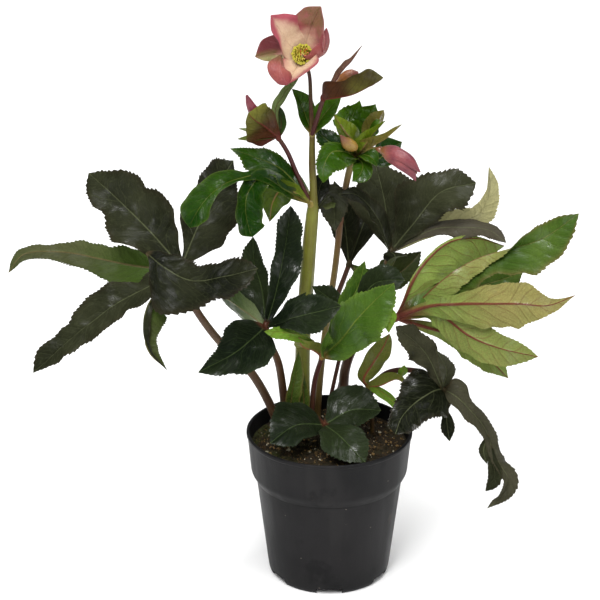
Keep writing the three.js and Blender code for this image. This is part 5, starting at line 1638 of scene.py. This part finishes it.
# The profile from the middle of the underside, round the rim, to the middle of the floor.
def potProfile():
    rim, wall, foot, top = pot["rimRadius"], pot["wall"], pot["bodyFootRadius"], pot["height"]
    lip = rim - pot["lipDepth"]
    corners = [
        # radius, height and the radius that rounds the corner
        (0, pot["floorLow"], 0),
        (pot["footInner"], pot["floorLow"], 1),
        (pot["footInner"], 0, 0.4),
        (pot["footRadius"], 0, 0.4),
        (foot - 0.9, pot["corner"] * 0.3, 2),
        (foot, pot["corner"], 5),
        (pot["shoulderRadius"], pot["shoulder"], 0.5),
        (pot["bandLowRadius"], pot["bandLow"], 2.5),
        (lip, top - pot["lipHeight"], 0.5),
        (rim, top - pot["lipHeight"] + 0.5, 0.4),
        (rim, top, 1.0),
        (lip - wall, top, 0.7),
        (pot["bandLowRadius"] - wall, pot["bandLow"], 3),
        (pot["shoulderRadius"] - wall, pot["shoulder"], 1.2),
        (foot - wall, pot["floorHigh"], 1),
        (0, pot["floorHigh"], 0),
    ]
    profile = [corners[0][:2]]
    for before, corner, after in zip(corners, corners[1:], corners[2:]):
        here = np.array(corner[:2], float)
        ends = []
        for other in (before, after):
            away = np.array(other[:2], float) - here
            gap = np.linalg.norm(away)
            ends.append(here + away / gap * min(corner[2], gap * 0.45))
        for share in np.linspace(0, 1, 5):
            bent = (1 - share) ** 2 * ends[0] + 2 * share * (1 - share) * here + share**2 * ends[1]
            profile.append(tuple(bent))
    profile.append(corners[-1][:2])
    return profile


# The points of a level circle.
def circleAt(radius, height, angles):
    return [(radius * math.cos(a), radius * math.sin(a), height) for a in angles]


def potBody():
    sides = pot["sides"]
    angles = np.linspace(0, 2 * np.pi, sides, endpoint=False)
    points, rows, faces = [], [], []
    for radius, height in potProfile():
        circle = circleAt(radius, height, angles if radius else [0])
        rows.append(list(range(len(points), len(points) + len(circle))))
        points += circle
    for low, high in zip(rows, rows[1:]):
        for k in range(sides):
            n = (k + 1) % sides
            corner = [low[k % len(low)], low[n % len(low)], high[n % len(high)], high[k % len(high)]]
            faces.append(tuple(dict.fromkeys(corner)))
    return addObject("source", meshOf("pot", {"points": points, "faces": faces, "values": {}}))


def notchCutter(shape):
    out = Matrix.Translation((pot["footRadius"] * mm, 0, 0))
    size = (pot["notchReach"] * mm, pot["notchWidth"] * mm, 2 * pot["notchHeight"] * mm, 1)
    for i in range(pot["notches"]):
        turn = Matrix.Rotation(2 * math.pi * i / pot["notches"] - math.pi / 2, 4, "Z")
        place = Matrix.Translation(Vector(potAxis)) @ turn @ out
        bmesh.ops.create_cube(shape, size=1.0, matrix=place @ Matrix.Diagonal(size))


def holeCutter(shape):
    radius = pot["drainRadius"] * mm
    turns = [2 * math.pi * (i + 0.5) / pot["drainHoles"] for i in range(pot["drainHoles"])]
    for centre in circleAt(pot["drainCircle"], pot["floorLow"] + 1, turns):
        place = Matrix.Translation(Vector(atPlace(centre)))
        bmesh.ops.create_cone(shape, cap_ends=True, segments=24, radius1=radius, radius2=radius,
                              depth=pot["drainDepth"] * mm, matrix=place)


def cutWith(body, fill):
    shape = bmesh.new()
    fill(shape)
    mesh = bpy.data.meshes.new("cutter")
    shape.to_mesh(mesh)
    shape.free()
    cutter = addObject("source", mesh)
    cut = body.modifiers.new("cut", "BOOLEAN")
    cut.operation = "DIFFERENCE"
    cut.solver = "EXACT"
    cut.object = cutter
    made = bpy.data.meshes.new_from_object(body.evaluated_get(bpy.context.evaluated_depsgraph_get()))
    body.modifiers.remove(cut)
    body.data = made
    bpy.data.objects.remove(cutter)


def makePot():
    finishes["pot"] = potMaterial()
    body = potBody()
    cutWith(body, notchCutter)
    cutWith(body, holeCutter)
    mesh = body.data
    bpy.data.objects.remove(body)
    mesh.materials.clear()
    addPiece("pot-body", mesh, "pot", ["pot"], sharpAngle=35)


makePot()
print("pot made")

# The compost is a bed with an uneven top, and crumbs, grains and fibres strewn on it.
compost = {
    "top": 109,
    "crown": 4,
    "lumps": 2.1,
    "waves": 60,
    "waveSteps": (0.05, 0.9),
    "rings": 44,
    "sectors": 150,
    "crumbs": 1270,
    "crumbSize": (0.5, 2.2),
    "grains": 2400,
    "largestGrain": 1.2,
    "fibres": 260,
    "fibreScales": (0.0006, 0.0013),
    "fibreSides": 5,
    "fibreLength": 7.0,
    "seed": 7,
    "clearance": 0.4,
}
# Each kind draws its random numbers from the seed plus one of these.
seedSteps = {"crumbs": 0, "grains": 40, "fibres": 20, "aspect": 3.0, "tone": 8.0}


compostLook = {
    "dark": ((18, 15, 10), (56, 46, 30)),
    # the tones between which each other colour fades in, and its two shades
    "others": (
        (0.35, 0.45, ((32, 23, 13), (78, 60, 36))),  # brown
        (0.8, 0.86, ((96, 72, 40), (160, 130, 84))),  # golden
        (0.955, 0.965, ((150, 140, 112), (206, 198, 176))),  # pale
    ),
    "moss": (54, 62, 20),
    "bump": 0.0014,
}


def insideRadius(height):
    levels = [pot[key] for key in ("floorHigh", "shoulder", "bandLow", "height")]
    radii = [pot[key] for key in ("bodyFootRadius", "shoulderRadius", "bandLowRadius")]
    radii.append(pot["rimRadius"] - pot["lipDepth"])
    return float(np.interp(height, levels, radii)) - pot["wall"] - compost["clearance"]


def compostMaterial():
    material, tree, shader, coordinates = newMaterial("compostFinish", Specular_IOR_Level=0.25)
    tone = namedValue(tree, "tone")
    fine = noiseOf(tree, coordinates, 700.0, 4.0, 0.7)
    colour = blendColours(tree, fine, *compostLook["dark"])
    for low, high, shades in compostLook["others"]:
        other = blendColours(tree, fine, *shades)
        colour = blendColours(tree, fade(tree, tone, low, high), colour, other)
    moss = fade(tree, noiseOf(tree, coordinates, 55.0, 3.0), 0.42, 0.6, 0.0, 0.9)
    moss = times(tree, moss, fade(tree, fine, 0.35, 0.6))
    moss = times(tree, moss, fade(tree, partsOf(tree, coordinates)[0], -0.03, 0.03, 1.0, 0.15))
    colour = blendColours(tree, moss, colour, compostLook["moss"])
    finishFrom(tree, shader, colour, fade(tree, fine, 0.3, 0.7, 0.8, 1.0), fine, compostLook["bump"])
    return material


# One kind of crumb set on the top of the bed, each with its own turn, size, aspect and tone.
def scatter(tree, given, top, kind, density, shape, sizes, turns):
    seed = calc(tree, "ADD", given["Seed"], float(seedSteps[kind]))
    inputs = {"Mesh": given["Geometry"], "Selection": top, "Density": density, "Seed": seed}
    spots = addNode(tree, "GeometryNodeDistributePointsOnFaces", inputs).outputs[0]
    grade = calc(tree, "POWER", randomNumber(tree, 0.0, 1.0, seed), 2.2)
    inputs = {"Value": grade, "To Min": sizes[0], "To Max": sizes[1]}
    size = addNode(tree, "ShaderNodeMapRange", inputs).outputs[0]
    aspectSeed = calc(tree, "ADD", seed, seedSteps["aspect"])
    aspect = randomVector(tree, (0.6, 0.6, 0.5), (1.3, 1.1, 1.0), aspectSeed)
    placed = instancesOn(tree, spots, shape, randomVector(tree, *turns, seed), scaled(tree, aspect, size))
    tone = randomNumber(tree, 0.0, 1.0, calc(tree, "ADD", seed, seedSteps["tone"]))
    return storeValue(tree, placed, "tone", tone, "INSTANCE")


def lump(tree, detail):
    position = positionOf(tree)
    inputs = {"Vector": position, "Scale": 1.4, "Detail": 1.0}
    rough = addNode(tree, "ShaderNodeTexNoise", inputs).outputs[0]
    ball = addNode(tree, "GeometryNodeMeshIcoSphere", {"Radius": 1.0, "Subdivisions": detail}).outputs[0]
    return moved(tree, ball, Position=scaled(tree, position, timesPlus(tree, rough, 1.6, 0.2)))


def lyingStick(tree):
    length = compost["fibreLength"]
    stick = addNode(tree, "GeometryNodeMeshCone", {
        "Vertices": compost["fibreSides"],
        "Side Segments": 3,
        "Radius Top": 0.1,
        "Radius Bottom": 0.16,
        "Depth": length,
    }).outputs[0]
    return transformed(tree, stick, Translation=(-length / 2, 0, 0.3), Rotation=(0, math.pi / 2, 0))


def crumbTree():
    tree, given = geometryTree("crumbsOnSurface", (
        ("Crumbs", "Float", 100.0),
        ("Grains", "Float", 100.0),
        ("Fibres", "Float", 100.0),
        ("Smallest", "Float", 0.0005),
        ("Largest", "Float", 0.002),
        ("Largest Grain", "Float", 0.001),
        ("Seed", "Int", 1),
        ("Material", "Material", None),
    ))
    top = calc(tree, "GREATER_THAN", storedValue(tree, "isTop"), 0.5)
    anyTurn = ((0, 0, 0), (6.3, 6.3, 6.3))
    lyingTurn = ((-0.5, -0.5, 0), (0.5, 0.5, 6.3))
    smallest = given["Smallest"]
    parts = [given["Geometry"]]
    for kind, density, shape, sizes, turns in (
        ("crumbs", given["Crumbs"], lump(tree, 2), (smallest, given["Largest"]), anyTurn),
        ("grains", given["Grains"], lump(tree, 1), (smallest, given["Largest Grain"]), anyTurn),
        ("fibres", given["Fibres"], lyingStick(tree), compost["fibreScales"], lyingTurn),
    ):
        parts.append(scatter(tree, given, top, kind, density, shape, sizes, turns))
    finishTree(tree, joinGeometry(tree, parts), given["Material"])
    return tree


# The top from its middle outwards, raised and sunk by many small waves.
def compostTop(outer, angles):
    rng = np.random.default_rng(compost["seed"])
    limits = (compost["waveSteps"], (0, 2 * np.pi), (0, 2 * np.pi))
    waves = [[rng.uniform(*ends) for ends in limits] for _ in range(compost["waves"])]
    points = [(0, 0, compost["top"] + compost["crown"])]
    for i in range(1, compost["rings"] + 1):
        reach = i / compost["rings"]
        x, y = outer * reach * np.cos(angles), outer * reach * np.sin(angles)
        lumps = sum(np.sin(f * (x * math.cos(d) + y * math.sin(d)) + p) for f, d, p in waves) / 8
        lumps = lumps * compost["lumps"] * min(1, (1 - reach) * 12 + 0.15)
        height = compost["top"] + compost["crown"] * (1 - reach**2) + lumps
        points += list(zip(x, y, height))
    return points


def compostMesh(outer):
    rings, sectors = compost["rings"], compost["sectors"]
    angles = np.linspace(0, 2 * np.pi, sectors, endpoint=False)
    points = compostTop(outer, angles)
    topCount = len(points) - 2 * sectors  # nothing is strewn on the last two rings
    for height in (pot["bandLow"], pot["shoulder"], pot["floorHigh"] + compost["clearance"]):
        points += circleAt(insideRadius(height), height, angles)
    faces = [(0, 1 + k, 1 + (k + 1) % sectors) for k in range(sectors)]
    for start in range(1, 1 + (rings + 2) * sectors, sectors):
        for k in range(sectors):
            n = (k + 1) % sectors
            faces.append((start + k, start + sectors + k, start + sectors + n, start + n))
    faces.append(tuple(range(len(points) - 1, len(points) - 1 - sectors, -1)))
    isTop = (np.arange(len(points)) < topCount).astype(float)
    values = {"isTop": isTop, "tone": np.full(len(points), 0.2)}
    return meshOf("compost", {"points": points, "faces": faces, "values": values})


def makeCompost():
    finishes["compost"] = compostMaterial()
    outer = insideRadius(compost["top"])
    area = math.pi * (outer * mm) ** 2
    made = runTree(addObject("source", compostMesh(outer)), crumbTree(), {
        "Crumbs": compost["crumbs"] / area,
        "Grains": compost["grains"] / area,
        "Fibres": compost["fibres"] / area,
        "Smallest": compost["crumbSize"][0] * mm,
        "Largest": compost["crumbSize"][1] * mm,
        "Largest Grain": compost["largestGrain"] * mm,
        "Seed": compost["seed"],
        "Material": finishes["compost"],
    })
    addPiece("compostBed", made, "compost", ["soil"])


makeCompost()
print("compost made")

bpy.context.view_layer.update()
triangles = {o.name: sum(len(p.vertices) - 2 for p in o.data.polygons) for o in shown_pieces()}
print("triangles:", sum(triangles.values()), "largest piece:", max(triangles.values()))
